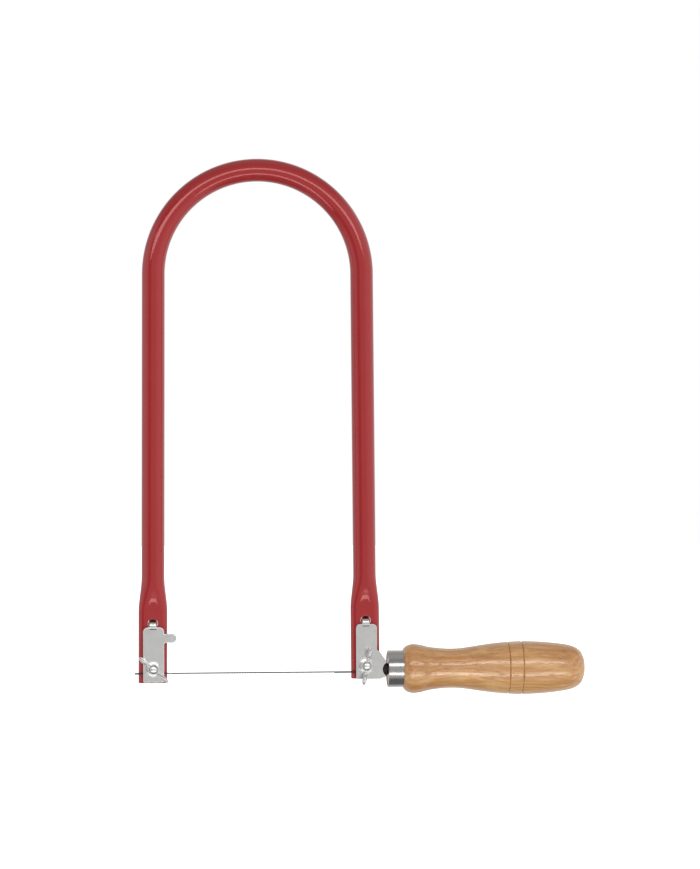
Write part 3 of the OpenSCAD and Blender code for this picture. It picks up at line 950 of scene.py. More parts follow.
def blade_tree():
    sizes = ["Start", "Length", "Height", "Thickness", "First tooth", "Face", "Pitch",
             "Depth", "Set"]
    tree, size = new_shape_tree("Fret blade", sizes, ["Teeth"])
    points = size["Teeth"] * POINTS_PER_TOOTH + 3
    mesh, column, row = grid(tree, points, 2)

    # The first point and the last two lie on the plain ends, the others on the teeth
    index = (column - 1).clamp(0, points - 3)
    tooth = (index / POINTS_PER_TOOTH).math("FLOOR")
    corner = index - tooth * POINTS_PER_TOOTH
    at_gullet = corner.math("MINIMUM", 1)
    at_point = (corner - 1).math("MAXIMUM", 0)
    share = at_gullet * GULLET_SHARE + at_point * (POINT_SHARE - GULLET_SHARE)
    x = size["First tooth"] + (tooth + share) * size["Pitch"]
    is_first = column.math("LESS_THAN", 0.5)
    is_last = column.math("GREATER_THAN", points - 1.5)
    x = x * (1 - is_first) * (1 - is_last) + size["Start"] * is_first
    x = x + (size["Start"] + size["Length"]) * is_last
    on_teeth = (1 - is_first) * (1 - is_last) * tooth.math("LESS_THAN", size["Teeth"])
    low = size["Depth"] * (1 - at_point) * on_teeth - size["Height"] / 2
    z = low * (1 - row) + size["Height"] / 2 * row
    side = (tooth - (tooth / 2).math("FLOOR") * 2) * 2 - 1
    y = size["Face"] + side * at_point * (1 - row) * size["Set"] * on_teeth
    strip = moved(tree, mesh, x, y, z)

    # Two copies of the strip are its faces, and the extrusion is what joins them
    offset = joined(tree, 0.0, -size["Thickness"], 0.0)
    inputs = {"Mesh": strip, "Offset": offset, "Offset Scale": 1.0, "Individual": False}
    grown = add_node(tree, "GeometryNodeExtrudeMesh", inputs)
    flipped = add_node(tree, "GeometryNodeFlipFaces", {"Mesh": strip})
    both = add_node(tree, "GeometryNodeJoinGeometry")
    for half in (grown, flipped):
        tree.links.new(half.outputs["Mesh"], both.inputs[0])
    end_tree(tree, both.outputs[0], DARK_BLADE)
    return tree


BLADE_L = BLADE_HIGH.x - BLADE_LOW.x
TEETH = int((BLADE_L - 2 * PLAIN_END) / TOOTH_PITCH)
BLADE_SIZES = {
    "Start": BLADE_LOW.x,
    "Length": BLADE_L,
    "Height": BLADE_HIGH.z - BLADE_LOW.z,
    "Thickness": BLADE_HIGH.y - BLADE_LOW.y,
    "Face": BLADE_HIGH.y,
    "First tooth": BLADE_LOW.x + (BLADE_L - TEETH * TOOTH_PITCH) / 2,
    "Pitch": TOOTH_PITCH,
    "Depth": TOOTH_DEPTH,
    "Set": TOOTH_SET,
    "Teeth": TEETH,
}
blade = grow("saw_blade", blade_tree(), BLADE_SIZES, DARK_BLADE)
hand_over(blade, "bow", "blade")

# %% [markdown]
# ## The clamp plates
# Each plate is stamped from sheet, so its front edges are rolled over softly and its back
# edges are sharp. An outline is drawn once, given its thickness, and only the front edges
# are bevelled. A tongue at the top is bent back through the hook hole. It is swept along its
# own bend, a hair thinner than the plate, and joined to it.

# %% Outlines of the plates
PLATE_W = 11.5 * MM
PLATE_T = 1.8 * MM
PLATE_RISE = 22.8 * MM
PLATE_TAIL = 7.4 * MM
PLATE_SHIFT = 0.3 * MM
PLATE_CORNER_R = 2.4 * MM
PLATE_FOOT_R = 0.8 * MM
PLATE_HOLE_R = 2.7 * MM
PLATE_EDGE_R = 0.38 * MM
CORNER_STEPS = 10
HALF_PLATE = PLATE_W / 2


def strip_outline():
    """The strip from its top right corner round to its left foot."""
    top = PLATE_RISE - PLATE_CORNER_R
    foot = -PLATE_TAIL + PLATE_FOOT_R
    return [
        *arc((HALF_PLATE - PLATE_CORNER_R, top), PLATE_CORNER_R, 0, 90, CORNER_STEPS),
        *arc((-HALF_PLATE + PLATE_CORNER_R, top), PLATE_CORNER_R, 90, 180, CORNER_STEPS),
        *arc((-HALF_PLATE + PLATE_FOOT_R, foot), PLATE_FOOT_R, 180, 270, CORNER_STEPS),
    ]


TAB_W = 5.0 * MM
TAB_L = 6.9 * MM
TAB_DROP = 6 * MM
TAB_FILLET_R = 1 * MM
DIMPLE_R = 0.9 * MM
DIMPLE_DEPTH = 0.075 * MM


def tab_outline():
    """The front plate, with its finger tab on the handle's side."""
    centre = PLATE_RISE - TAB_DROP
    fillet = (HALF_PLATE + TAB_FILLET_R, centre - TAB_W / 2 - TAB_FILLET_R)
    round_x = HALF_PLATE + TAB_L - TAB_W / 2
    foot = (HALF_PLATE - PLATE_FOOT_R, -PLATE_TAIL + PLATE_FOOT_R)
    return [
        *strip_outline(),
        *arc(foot, PLATE_FOOT_R, 270, 360, CORNER_STEPS),
        *arc(fillet, TAB_FILLET_R, 180, 90, CORNER_STEPS),
        *arc((round_x, centre), TAB_W / 2, 270, 450, 3 * CORNER_STEPS),
        (HALF_PLATE, centre + TAB_W / 2),
    ]


WING_RISE = 8.5 * MM
BROW_L = 1.6 * MM
BROW_DROP = 0.9 * MM
WING_GAP = 0.6 * MM
BITE_R = 4.15 * MM
BITE_DEPTH = 2.4 * MM
HEEL_L = 4.1 * MM


def wing_outline():
    """The rear plate, with its wing and the round bite that clears the tang."""
    tip_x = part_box("ferrule")[0].x - WING_GAP - REAR_BOLT.x - PLATE_SHIFT
    bite = (tip_x - BITE_DEPTH + BITE_R, HANDLE_Z - REAR_BOLT.z)
    opening = math.degrees(math.acos((bite[0] - tip_x) / BITE_R))
    return [
        *strip_outline(),
        (tip_x - HEEL_L, -PLATE_TAIL),
        *arc(bite, BITE_R, 180 + opening, 180 - opening, 3 * CORNER_STEPS),
        (HALF_PLATE + BROW_L, WING_RISE - BROW_DROP),
        (HALF_PLATE, WING_RISE),
    ]


print("outline points:", len(tab_outline()), len(wing_outline()))

# %% Stamp a plate from its outline, with its front edges rolled over
TONGUE_W = 3.8 * MM
TONGUE_L = 4 * MM
TONGUE_BEND_R = 0.5 * MM
TONGUE_BEND = math.radians(88)
TONGUE_LIFT = 0.7 * MM
TONGUE_THIN = 0.03 * MM
TONGUE_EDGE_R = 0.3 * MM
TONGUE_ROOT = 1.6 * PLATE_EDGE_R
CREASE_DROP = 1.3 * MM
CREASE_W = 0.4 * MM
CREASE_DEPTH = 0.3 * MM
BEVEL_STEPS = 5


def stamp(name, outline):
    """A blank PLATE_T thick, with its front at PLATE_FRONT."""
    shifted = [(x + PLATE_SHIFT, z) for x, z in outline]
    shape, face = slab(shifted, -PLATE_FRONT, PLATE_T)
    rim = list(face.edges)
    shape.normal_update()
    bmesh.ops.bevel(
        shape, geom=rim, offset=PLATE_EDGE_R, segments=BEVEL_STEPS, affect="EDGES",
        profile=0.5, clamp_overlap=True,
    )
    return new_piece(name, shape, PLATE_ZINC)


def tongue_sections():
    """Where each section of the tongue is: a point in Y and Z, and the way it faces."""
    middle_y = -PLATE_FRONT + PLATE_T / 2
    turn_y = -PLATE_FRONT + PLATE_T + TONGUE_BEND_R
    turn_z = PLATE_RISE + TONGUE_LIFT
    radius = TONGUE_BEND_R + PLATE_T / 2
    sections = [(middle_y, PLATE_RISE - TONGUE_ROOT, 0.0), (middle_y, turn_z, 0.0)]
    for k in range(1, CORNER_STEPS + 1):
        a = TONGUE_BEND * k / CORNER_STEPS
        sections.append((turn_y - radius * math.cos(a), turn_z + radius * math.sin(a), a))
    y, z, a = sections[-1]
    for share in (0.5, 1.0):
        ahead = TONGUE_L * share
        sections.append((y + ahead * math.sin(a), z + ahead * math.cos(a), a))
    return sections


def tongue():
    half_w = TONGUE_W / 2
    half_t = PLATE_T / 2 - TONGUE_THIN
    edge = TONGUE_EDGE_R
    outline = []
    for side_x, side_y, start in ((1, 1, 0), (-1, 1, 90), (-1, -1, 180), (1, -1, 270)):
        centre = (side_x * (half_w - edge), side_y * (half_t - edge))
        outline += arc(centre, edge, start, start + 90, 3)
    shape = bmesh.new()
    rows = [
        [shape.verts.new((px, y + py * math.cos(a), z - py * math.sin(a))) for px, py in outline]
        for y, z, a in tongue_sections()
    ]
    skin_rows(shape, rows)
    shape.faces.new(rows[0])
    shape.faces.new(rows[-1])
    return new_piece("tongue", shape, PLATE_ZINC)


def crease():
    """The line that is coined across the foot of the tongue, so that it bends there. Its walls
    take the black finish, which paints a line of shade under the bend.
    """
    half = TONGUE_W / 2
    low = (-half, -PLATE_FRONT - CREASE_DEPTH, PLATE_RISE - CREASE_DROP)
    high = (half, -PLATE_FRONT + CREASE_DEPTH, low[2] + CREASE_W)
    # The cutter's black finish goes onto the crease's walls: a painted line of shade.
    return block("crease_cutter", low, high, BLACK_FINISH_AND_CREASE_SHADE)


print("tongue sections:", len(tongue_sections()))

# %% Make both plates
def plate(name, outline):
    made = combine(stamp(name, outline), "UNION", tongue())
    hole = rod((0, 0, 0), PLATE_HOLE_R, 0, 2 * PLATE_FRONT, PLATE_ZINC, 64)
    return combine(made, "DIFFERENCE", hole, crease())


def dimple_ball():
    radius = (DIMPLE_R**2 + DIMPLE_DEPTH**2) / (2 * DIMPLE_DEPTH)
    centre = (
        PLATE_SHIFT + HALF_PLATE + TAB_L - TAB_W / 2,
        -PLATE_FRONT - radius + DIMPLE_DEPTH,
        PLATE_RISE - TAB_DROP,
    )
    shape = bmesh.new()
    bmesh.ops.create_uvsphere(shape, u_segments=96, v_segments=64, radius=radius)
    return set_at(new_piece("dimple_ball", shape, PLATE_ZINC), centre)


PLATES = {
    "front": plate("front_plate", tab_outline()),
    "rear": plate("rear_plate", wing_outline()),
}
combine(PLATES["front"], "DIFFERENCE", dimple_ball())
for side, piece in PLATES.items():
    set_at(piece, BOLTS[side])
    hand_over(piece, side + "_plate", side + "_clamp_plate")

# %% [markdown]
# ## Bolts and washers
# Each bolt has a domed head behind the arm, a square neck that keeps it from turning, and a
# rolled thread. A thread is the plainest rule of all: the radius depends on how far along
# the bolt a point is, less its share of a turn. So the thread is a grid wrapped round the
# axis by that rule, which stays one closed skin, where a swept ridge would need joining.

# %% The rule of the thread
THREAD_R = 2 * MM
THREAD_PITCH = 0.7 * MM
THREAD_DEPTH = 0.38 * MM
THREAD_CHAMFER = 0.4 * MM
FLANK_SLOPE = 1.5
FLANK_SHIFT = 0.25
ROWS_PER_TURN = 10
THREAD_COLUMNS = 49


def thread_tree():
    sizes = ["Start", "End", "Radius", "Pitch", "Depth", "Chamfer"]
    tree, size = new_shape_tree("Bolt thread", sizes, ["Rows", "Columns"])
    mesh, row, column = grid(tree, size["Rows"], size["Columns"])
    last = size["Rows"] - 1
    open_end = row.math("GREATER_THAN", 0.5) * (last - row).math("GREATER_THAN", 0.5)
    share = ((row - 1) / (last - 2)).clamp(0, 1)
    along = size["Start"] + share * (size["End"] - size["Start"])
    turned = column / (size["Columns"] - 1)
    phase = (along / size["Pitch"] - turned).math("FRACT")
    wave = (phase * 2 - 1).math("ABSOLUTE")
    valley = (wave * FLANK_SLOPE - FLANK_SHIFT).clamp(0, 1)
    chamfered = size["Radius"] - (size["Chamfer"] - (size["End"] - along)).math("MAXIMUM", 0)
    radius = (size["Radius"] - valley * size["Depth"]).math("MINIMUM", chamfered) * open_end
    angle = turned * math.tau
    x = radius * angle.math("COSINE")
    y = radius * angle.math("SINE")
    end_tree(tree, moved(tree, mesh, x, y, along), BOLT_ZINC)
    return tree


THREAD_TREE = thread_tree()
print("thread tree:", len(THREAD_TREE.nodes), "nodes")

# %% Make both bolts
HEAD_R = 4.6 * MM
HEAD_H = 2.2 * MM
HEAD_EDGE_R = 0.25 * MM
NECK_EDGE_R = 0.2 * MM
HEAD_STEPS = 14
SHANK_R = THREAD_R - 1.3 * THREAD_DEPTH
TIP_DOME_R = 3.2 * MM
TIP_SEAT = 0.5 * MM
TIP_STEP = 0.04 * MM
TIP_MARGIN = 0.15 * MM
OFF_SEAM = math.radians(1.7)


def head_outline():
    """The head's dome, its rounded rim and the plain shank behind the thread."""
    dome_r = (HEAD_R**2 + HEAD_H**2) / (2 * HEAD_H)
    reach = math.asin((HEAD_R - HEAD_EDGE_R) / dome_r)
    top = -FLAT_T / 2 - HEAD_H
    dome = [
        (top + dome_r * (1 - math.cos(a)), dome_r * math.sin(a))
        for a in (reach * k / HEAD_STEPS for k in range(HEAD_STEPS + 1))
    ]
    rim_z = -FLAT_T / 2 - HEAD_EDGE_R
    rim = [(z, r) for r, z in arc((HEAD_R - HEAD_EDGE_R, rim_z), HEAD_EDGE_R, 0, 90, 4)]
    return [*dome, *rim, (-FLAT_T / 2, SHANK_R), (FLAT_T / 2, SHANK_R), (FLAT_T / 2, 0)]


def tip_outline():
    """The low dome on the bolt's end, seated in the thread's end, and where that end is."""
    rim_r = THREAD_R - THREAD_CHAMFER - TIP_MARGIN
    rise = rim_r**2 / (2 * TIP_DOME_R)
    shares = [k / HEAD_STEPS for k in range(HEAD_STEPS, -1, -1)]
    dome = [(BOLT_END - rise * share**2, rim_r * share) for share in shares]
    seat = BOLT_END - TIP_SEAT - rise
    return [(seat, 0), (seat, rim_r), *dome], BOLT_END - rise - TIP_STEP


def bolt_neck():
    """The square neck behind the thread, which keeps the bolt from turning."""
    low = (-THREAD_R, -THREAD_R, -FLAT_T / 2 - HEAD_EDGE_R)
    high = (THREAD_R, THREAD_R, -FLAT_T / 2 + TUBE_WALL)
    return rounded(block("bolt_neck", low, high, BOLT_ZINC), NECK_EDGE_R)


TIP_OUTLINE, THREAD_END = tip_outline()
THREAD_SIZES = {
    "Start": 0.0,
    "End": THREAD_END,
    "Radius": THREAD_R,
    "Pitch": THREAD_PITCH,
    "Depth": THREAD_DEPTH,
    "Chamfer": THREAD_CHAMFER,
    "Rows": int(BOLT_END / THREAD_PITCH * ROWS_PER_TURN),
    "Columns": THREAD_COLUMNS,
}
for side, place in BOLTS.items():
    bolt = grow(side + "_clamp_bolt", THREAD_TREE, THREAD_SIZES, BOLT_ZINC)
    head = lathe("bolt_head", head_outline(), BOLT_ZINC, 64)
    tip = lathe("bolt_tip", TIP_OUTLINE, BOLT_ZINC, 48)
    for turned in (head, tip):
        turned.data.transform(Matrix.Rotation(OFF_SEAM, 4, "Z"))
    combine(bolt, "UNION", head, bolt_neck(), tip)
    hand_over(set_at(bolt, place, FORWARDS), "bow", side + "_bolt")

# %% Make both washers
WASHER_HOLE_R = 2.15 * MM
WASHER_EDGE_R = 0.15 * MM


def ring_outline(low, high, inner, outer, edge):
    """A ring's section with round corners, as distances and radii."""
    corners = [
        ((outer - edge, high - edge), 0),
        ((inner + edge, high - edge), 90),
        ((inner + edge, low + edge), 180),
        ((outer - edge, low + edge), 270),
    ]
    return [
        (z, r)
        for centre, start in corners
        for r, z in arc(centre, edge, start, start + 90, 4)
    ]


for side, place in BOLTS.items():
    node = side + "_washer"
    low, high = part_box(node)
    outline = ring_outline(-high.y, -low.y, WASHER_HOLE_R, (high.x - low.x) / 2, WASHER_EDGE_R)
    washer = lathe(side + "_flat_washer", outline, BOLT_ZINC, 72, ring=True)
    hand_over(set_at(washer, place, FORWARDS), node, node)

# %% [markdown]
# ## The wing nuts
# A wing nut is forged hot: a cone of a hub with two ears that swell towards their round
# tips, and soft fillets wherever they meet. Bevels can't make such fillets, because the
# hub's cone and the ears meet along curved lines. So hub and ears are first built as simple
# closed shapes that overlap, then remeshed as one skin of even small faces, and smoothed.
# That rounds every edge and fills every inner corner, as forging does.

# %% Shape one wing nut
HUB_R = 4 * MM
HUB_TOP_R = 3.1 * MM
HUB_H = 5 * MM
NUT_SPAN = 21 * MM
NUT_H = 10.5 * MM
LOBE_R = 3.2 * MM
WEB_T = 1.7 * MM
LOBE_T = 2.5 * MM
LOBE_LOW = 0.8 * MM
LOBE_CENTRE = (NUT_SPAN / 2 - LOBE_R, NUT_H - LOBE_R)
WEB_END_R = LOBE_R * 0.96
NUT_BORE_R = 2.05 * MM
NUT_MOUTH_R = NUT_BORE_R + 0.45 * MM
NUT_MOUTH_LOW = HUB_H - 0.35 * MM
NUT_MOUTH_HIGH = HUB_H + 0.1 * MM
NUT_VOXEL = 0.16 * MM
NUT_TURNS = {"front": math.radians(139), "rear": math.radians(78)}


def touch_point(point, centre, radius, side):
    """Where a line from a point touches a circle, on its left or right side."""
    away = (point[0] - centre[0], point[1] - centre[1])
    turn = math.atan2(away[1], away[0]) + side * math.acos(radius / math.hypot(*away))
    return (centre[0] + radius * math.cos(turn), centre[1] + radius * math.sin(turn))


def ear_web():
    """The flat web of one ear, from the hub's middle to the lobe."""
    low = (HUB_R, LOBE_LOW)
    high = (HUB_TOP_R, HUB_H)
    outline = [
        (0, LOBE_LOW),
        low,
        touch_point(low, LOBE_CENTRE, WEB_END_R, 1),
        LOBE_CENTRE,
        touch_point(high, LOBE_CENTRE, WEB_END_R, -1),
        high,
        (0, HUB_H),
    ]
    return new_piece("ear_web", slab(outline, -WEB_T / 2, WEB_T)[0], NUT_ZINC)


def ear_lobe():
    """The swollen, flattened tip of one ear."""
    shape = bmesh.new()
    bmesh.ops.create_uvsphere(shape, u_segments=48, v_segments=32, radius=1)
    bmesh.ops.scale(shape, vec=(LOBE_R, LOBE_T / 2, LOBE_R), verts=shape.verts)
    place = (LOBE_CENTRE[0], 0, LOBE_CENTRE[1])
    bmesh.ops.translate(shape, vec=place, verts=shape.verts)
    return new_piece("ear_lobe", shape, NUT_ZINC)


def wing_nut(name):
    hub = [(0, 0), (0, HUB_R), (HUB_H, HUB_TOP_R), (HUB_H, 0)]
    nut = lathe(name, hub, NUT_ZINC, 64)
    ears = [ear_web(), ear_web(), ear_lobe(), ear_lobe()]
    for ear in ears[1::2]:
        ear.data.transform(Matrix.Rotation(math.pi, 4, "Z"))
    combine(nut, "UNION", *ears)
    modify(nut, "REMESH", mode="VOXEL", voxel_size=NUT_VOXEL)
    modify(nut, "SMOOTH", factor=0.5, iterations=9)
    apply_modifiers(nut)
    bore = [
        (-HUB_H, 0),
        (-HUB_H, NUT_BORE_R),
        (NUT_MOUTH_LOW, NUT_BORE_R),
        (NUT_MOUTH_HIGH, NUT_MOUTH_R),
        (2 * HUB_H, NUT_MOUTH_R),
        (2 * HUB_H, 0),
    ]
    return combine(nut, "DIFFERENCE", lathe("nut_bore", bore, NUT_ZINC, 48))


for side, place in BOLTS.items():
    seat = -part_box(side + "_wing_nut")[1].y
    turn = Matrix.Translation((0, 0, seat)) @ Matrix.Rotation(NUT_TURNS[side], 4, "Z")
    nut = set_at(wing_nut(side + "_forged_nut"), place, FORWARDS @ turn)
    hand_over(nut, side + "_nut", side + "_wing_nut")

# %% [markdown]
# ## The tang
# The tang is one forging: a flat spade inside the arm's pressed end, a stout neck that
# leaves it towards the handle, and a spike that is driven into the wood. Only the neck
# shows. It is built from overlapping blocks with their edges rounded, because a forging has
# no sharp edge anywhere.

# %% Make the tang
SPADE_T = 4.14 * MM
ROOT_T = 3.44 * MM
NECK_H = 7.4 * MM
NECK_T = 5.2 * MM
NECK_EDGE = NECK_T * 0.3
SPIKE_R = 3 * MM
SPIKE_POINT_L = 8 * MM
TANG_EDGE_R = 0.5 * MM
FIT_GAP = 0.03 * MM
PASS_GAP = 0.15 * MM
TANG_LOW, TANG_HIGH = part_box("tang")
NECK_X = REAR_BOLT.x + FLAT_W / 2 + PASS_GAP
NECK_Z = (HANDLE_Z - NECK_H / 2, HANDLE_Z + NECK_H / 2)
SPIGOT_X = HANDLE_START - FIT_GAP


def forged(name, x_range, z_range, thickness, edge=TANG_EDGE_R, steps=3):
    """A block of the forging, with rounded edges."""
    low, high = zip(x_range, (-thickness / 2, thickness / 2), z_range)
    return rounded(block(name, low, high, BLACK_FINISH_AND_CREASE_SHADE), edge, steps)


def spike():
    end = TANG_HIGH.x - SPIGOT_X
    outline = [
        (-NECK_T / 2, 0),
        (-NECK_T / 2, SPIKE_R - TANG_EDGE_R),
        (end - SPIKE_POINT_L, SPIKE_R),
        (end, SPIKE_R / 3),
        (end, 0),
    ]
    made = lathe("tang_spike", outline, BLACK_FINISH_AND_CREASE_SHADE, 48)
    return set_at(made, (SPIGOT_X, 0, HANDLE_Z), ALONG_HANDLE)


spade_x = (TANG_LOW.x, REAR_BOLT.x + HALF_FLAT)
tang = forged("forged_tang", spade_x, (TANG_LOW.z, TANG_HIGH.z), SPADE_T)
root = forged("tang_root", (REAR_BOLT.x, NECK_X + NECK_T / 2), NECK_Z, ROOT_T)
neck = forged("tang_neck", (NECK_X, SPIGOT_X), NECK_Z, NECK_T, NECK_EDGE, 6)
combine(tang, "UNION", root, neck, spike())
combine(tang, "DIFFERENCE", rod(REAR_BOLT, BOLT_HOLE_R, -FLAT_T, FLAT_T, BLACK_FINISH_AND_CREASE_SHADE))
hand_over(tang, "bow", "tang")

# %% [markdown]
# ## The ferrule
# The ferrule is a drawn steel ring that keeps the neck of the handle from splitting. Its
# outer end is rolled over to a soft edge, and its other end meets the wood square. Its
# section is a closed outline turned on a lathe.

# %% Turn the ferrule
FERRULE_LOW, FERRULE_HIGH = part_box("ferrule")
FERRULE_R = (FERRULE_HIGH.z - FERRULE_LOW.z) / 2
FERRULE_L = FERRULE_HIGH.x - FERRULE_LOW.x
FERRULE_WALL = 0.9 * MM
FERRULE_EDGE_R = 0.4 * MM
FERRULE_FAR_R = 0.1 * MM
FERRULE_LIP_R = 0.2 * MM


def ferrule_outline():
    inner = FERRULE_R - FERRULE_WALL
    edge, far_r, lip_r = FERRULE_EDGE_R, FERRULE_FAR_R, FERRULE_LIP_R
    rolled = arc((edge, FERRULE_R - edge), edge, 180, 90, 8)
    far = arc((FERRULE_L - far_r, FERRULE_R - far_r), far_r, 90, 0, 2)
    lip = arc((lip_r, inner + lip_r), lip_r, 270, 180, 3)
    return [(FERRULE_L, inner), *lip, *rolled, *far]


ferrule = lathe("steel_ferrule", ferrule_outline(), TURNED_FERRULE, 128, ring=True)
set_at(ferrule, (FERRULE_LOW.x, 0, HANDLE_Z), ALONG_HANDLE)
hand_over(ferrule, "bow", "ferrule")

# %% [markdown]
# ## The handle
# The handle is turned on a lathe from one blank: a bead at the shoulder, a narrow waist for
# the fingers, a full belly for the palm, and two fine grooves cut with the tip of a tool.
# Its outline is a smooth curve through a few radii, the same as in the CAD, sampled finely
# so that long highlights stay smooth. The grooves are subtracted from that radius by
# formula, which keeps their edges crisp where a boolean would leave slivers.

# %% Turn the handle
HANDLE_L = 100.4 * MM
BELLY_R = 14.6 * MM
BUTT_R = 4.2 * MM
SHOULDER_LIP = 0.4 * MM
GROOVE_DEPTH = 0.5 * MM
GROOVE_W = 1.1 * MM
GROOVE_SHARES = (0.580, 0.654)
SPIKE_BORE_L = 57.5 * MM
OUTLINE_SHARES = [
    (0.012, 0.825), (0.034, 0.901), (0.060, 0.927), (0.100, 0.891), (0.144, 0.818),
    (0.210, 0.760), (0.275, 0.744), (0.341, 0.778), (0.430, 0.870), (0.517, 0.946),
    (0.604, 0.991), (0.670, 1.000), (0.758, 0.977), (0.845, 0.921), (0.915, 0.845),
    (0.955, 0.745), (0.980, 0.610), (0.993, 0.440),
]
STRETCH_STEPS = 14
GROOVE_STEPS = 4


def blend_point(a, b, c, d, t):
    """A smooth curve from b to c, led in from a and out towards d."""
    return tuple(
        (2 * q + (r - p) * t + (2 * p - 5 * q + 4 * r - s) * t * t
         + (3 * q - p - 3 * r + s) * t**3) / 2
        for p, q, r, s in zip(a, b, c, d)
    )


def smooth_outline():
    first = (0.0, FERRULE_R + SHOULDER_LIP)
    last = (HANDLE_L, BUTT_R)
    knots = [(along * HANDLE_L, radius * BELLY_R) for along, radius in OUTLINE_SHARES]
    knots = [first, first, *knots, last, last]
    points = []
    for a, b, c, d in zip(knots, knots[1:], knots[2:], knots[3:]):
        points += [blend_point(a, b, c, d, k / STRETCH_STEPS) for k in range(STRETCH_STEPS)]
    return [*points, last]


def radius_at(points, z):
    for (z0, r0), (z1, r1) in zip(points, points[1:]):
        if z0 <= z <= z1:
            return r0 + (r1 - r0) * (z - z0) / max(z1 - z0, MERGE_DISTANCE)
    return points[-1][1]


def with_grooves(points):
    """Points of the outline outside the grooves, and closer ones inside them."""
    half = GROOVE_W / 2
    centres = [share * HANDLE_L for share in GROOVE_SHARES]
    kept = [p for p in points if all(abs(p[0] - centre) > half for centre in centres)]
    for centre in centres:
        for k in range(-GROOVE_STEPS, GROOVE_STEPS + 1):
            z = centre + half * k / GROOVE_STEPS
            cut = GROOVE_DEPTH * (1 - abs(k) / GROOVE_STEPS)
            kept.append((z, radius_at(points, z) - cut))
    return sorted(kept)


def handle_outline():
    """Bore, spigot inside the ferrule, outline and butt, from the spigot's end."""
    base = FERRULE_HIGH.x - HANDLE_START
    spigot_r = FERRULE_R - FERRULE_WALL - FIT_GAP
    bore_r = SPIKE_R + FIT_GAP
    body = [(base + z, r) for z, r in with_grooves(smooth_outline())]
    return [
        (SPIKE_BORE_L, 0),
        (SPIKE_BORE_L, bore_r),
        (0, bore_r),
        (0, spigot_r),
        (base, spigot_r),
        *body,
        (base + HANDLE_L, 0),
    ]


handle = lathe("turned_handle", handle_outline(), LACQUERED_WOOD, 144)
set_at(handle, (HANDLE_START, 0, HANDLE_Z), ALONG_HANDLE)
hand_over(handle, "bow", "handle")

# %% [markdown]
# ## The studio
# In the photograph the saw is alone on white: there is no horizon and no shadow, and its
# metal shows nothing of a floor. So it stands on a round sheet of white paper that only the
# camera sees. The paper's underside is see-through, and the world behind it is as white as
# the paper, so the saw can be looked at from every side, also from below.

# %% Lay the white paper
PAPER_R = 3.0
PAPER_CORNERS = 96
PAPER_GLOW = 1.0
PURE_WHITE = (1, 1, 1, 1)


def white_paper():
    made = Finish(
        "white_paper", Roughness=0.9, Emission_Strength=PAPER_GLOW, Emission_Color=PURE_WHITE
    )
    film = made.place(FILM, Cloud_scale=3, Wave_scale=80)
    made.paint((0.78, 0.78, 0.78), (film["Cloud"], (0.82, 0.82, 0.82)))
    backfacing = add_node(made.tree, "ShaderNodeNewGeometry").outputs["Backfacing"]
    made.feed("Alpha", 1 - Field(made.tree, backfacing))
    return made.material


def round_sheet():
    shape = bmesh.new()
    turns = [math.tau * k / PAPER_CORNERS for k in range(PAPER_CORNERS)]
    shape.faces.new([
        shape.verts.new((PAPER_R * math.cos(a), PAPER_R * math.sin(a), CAD_BOX[0].z))
        for a in turns
    ])
    made = new_piece("floor", shape, white_paper())
    if made.data.polygons[0].normal.z < 0:
        made.data.flip_normals()
    made.visible_glossy = made.visible_diffuse = made.visible_shadow = False
    return made


round_sheet()
print("paper:", PAPER_R, "m across its middle")

# %% [markdown]
# ### The light
# Bright metal shows the room more than itself, so the room is designed. The ferrule is a
# small cylinder that maps it: from top to bottom it shows a pale ceiling, a thin bright
# band, the grey room round the lens, a second thin band, a dark stretch and a pale rim. The
# world is that room, white behind the saw and grey in front, and two long soft boxes above
# and below the lens make the bands. Upright tubes can't mirror lamps that lie level, which
# is why the arms show no bright lines and the bend does.

# %% The world: a white backdrop, a grey room and a dark floor
ROOM_GREY = 0.52
ROOM_WHITE = 0.72
ROOM_ZENITH = 0.5
ROOM_HIGH = 0.34
ROOM_LOW = 0.17
SIDE_GLOW = 0.35
LEFT_PATCH = 0.4
PATCH_X = -0.58

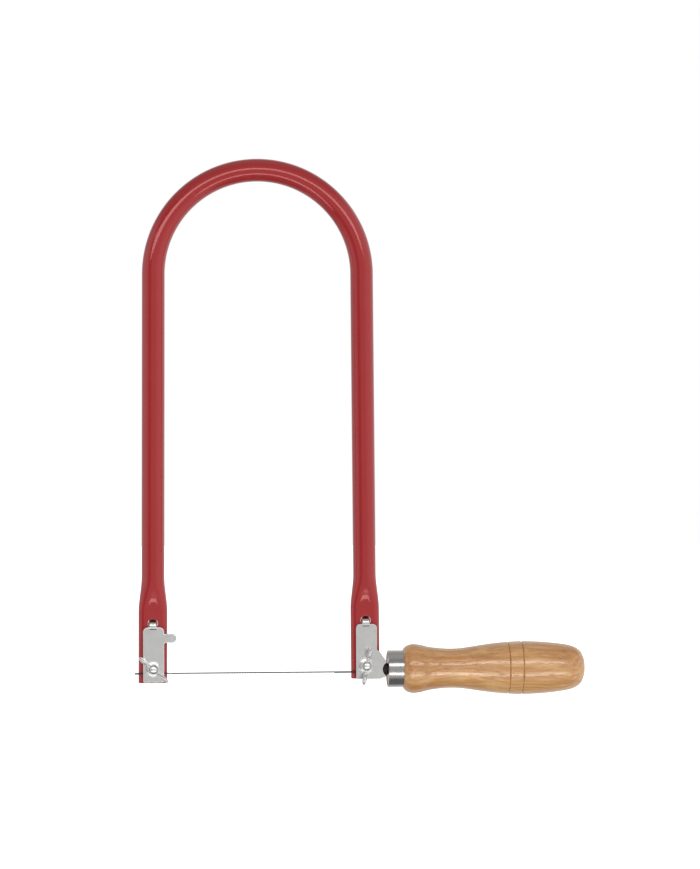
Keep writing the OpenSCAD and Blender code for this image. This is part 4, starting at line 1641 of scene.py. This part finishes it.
# Where each part of the room starts and ends, as shares of a direction's length
RIGHT_SPAN = (0.2, 0.8)
LEFT_SPAN = (0.8, 0.97)
PATCH_SPAN = (0.1, 0.26)
LEVEL_SPAN = (0.2, 0.5)
HIGH_SPAN = (0.45, 0.75)
ZENITH_SPAN = (0.85, 1)
LOW_SPAN = (0.78, 0.92)
BEHIND_SPAN = (0.25, 0.95)


def ramp(field, span):
    """0 before the span, 1 after it, and a smooth step on it."""
    start, end = span
    return smooth_step(((field - start) / (end - start)).clamp(0, 1))


def studio_world():
    world = bpy.data.worlds.new("Studio")
    world.use_nodes = True
    tree = world.node_tree
    x, y, z = split(tree, add_node(tree, "ShaderNodeTexCoord").outputs["Generated"])
    room = ROOM_GREY + ramp(x, RIGHT_SPAN) * SIDE_GLOW + ramp(-x, LEFT_SPAN) * SIDE_GLOW
    patch = 1 - ramp((x - PATCH_X).math("ABSOLUTE"), PATCH_SPAN)
    room = room - patch * ramp(1 - z.math("ABSOLUTE"), LEVEL_SPAN) * LEFT_PATCH
    high = ramp(z, HIGH_SPAN)
    room = room * (1 - high) + high * ROOM_HIGH + ramp(z, ZENITH_SPAN) * (ROOM_ZENITH - ROOM_HIGH)
    low = ramp(-z, LOW_SPAN)
    room = room * (1 - low) + low * ROOM_LOW
    behind = ramp(y, BEHIND_SPAN)
    light = room * (1 - behind) + behind * ROOM_WHITE
    camera = Field(tree, add_node(tree, "ShaderNodeLightPath").outputs["Is Camera Ray"])
    background = tree.nodes["Background"]
    feed(tree, background.inputs["Strength"], light * (1 - camera) + camera * PAPER_GLOW)
    feed(tree, background.inputs["Color"], PURE_WHITE)
    return world


bpy.context.scene.world = studio_world()
print("world nodes:", len(bpy.context.scene.world.node_tree.nodes))

# %% The two long soft boxes
BOX_SIZE = (1.5, 0.24)
BOX_POWER = 3.2
BOX_AIM = Vector((0.05, 0, 0.06))
BOX_PLACES = {"upper_box": (-0.05, -0.9, 0.48), "lower_box": (-0.05, -0.9, -0.525)}

for name, place in BOX_PLACES.items():
    lamp = bpy.data.lights.new(name, "AREA")
    lamp.shape = "RECTANGLE"
    lamp.size, lamp.size_y = BOX_SIZE
    lamp.energy = BOX_POWER
    box = new_object(name, lamp)
    box.location = place
    box.rotation_euler = facing(BOX_AIM - Vector(place)).to_euler()

bpy.context.scene.view_settings.view_transform = "Standard"
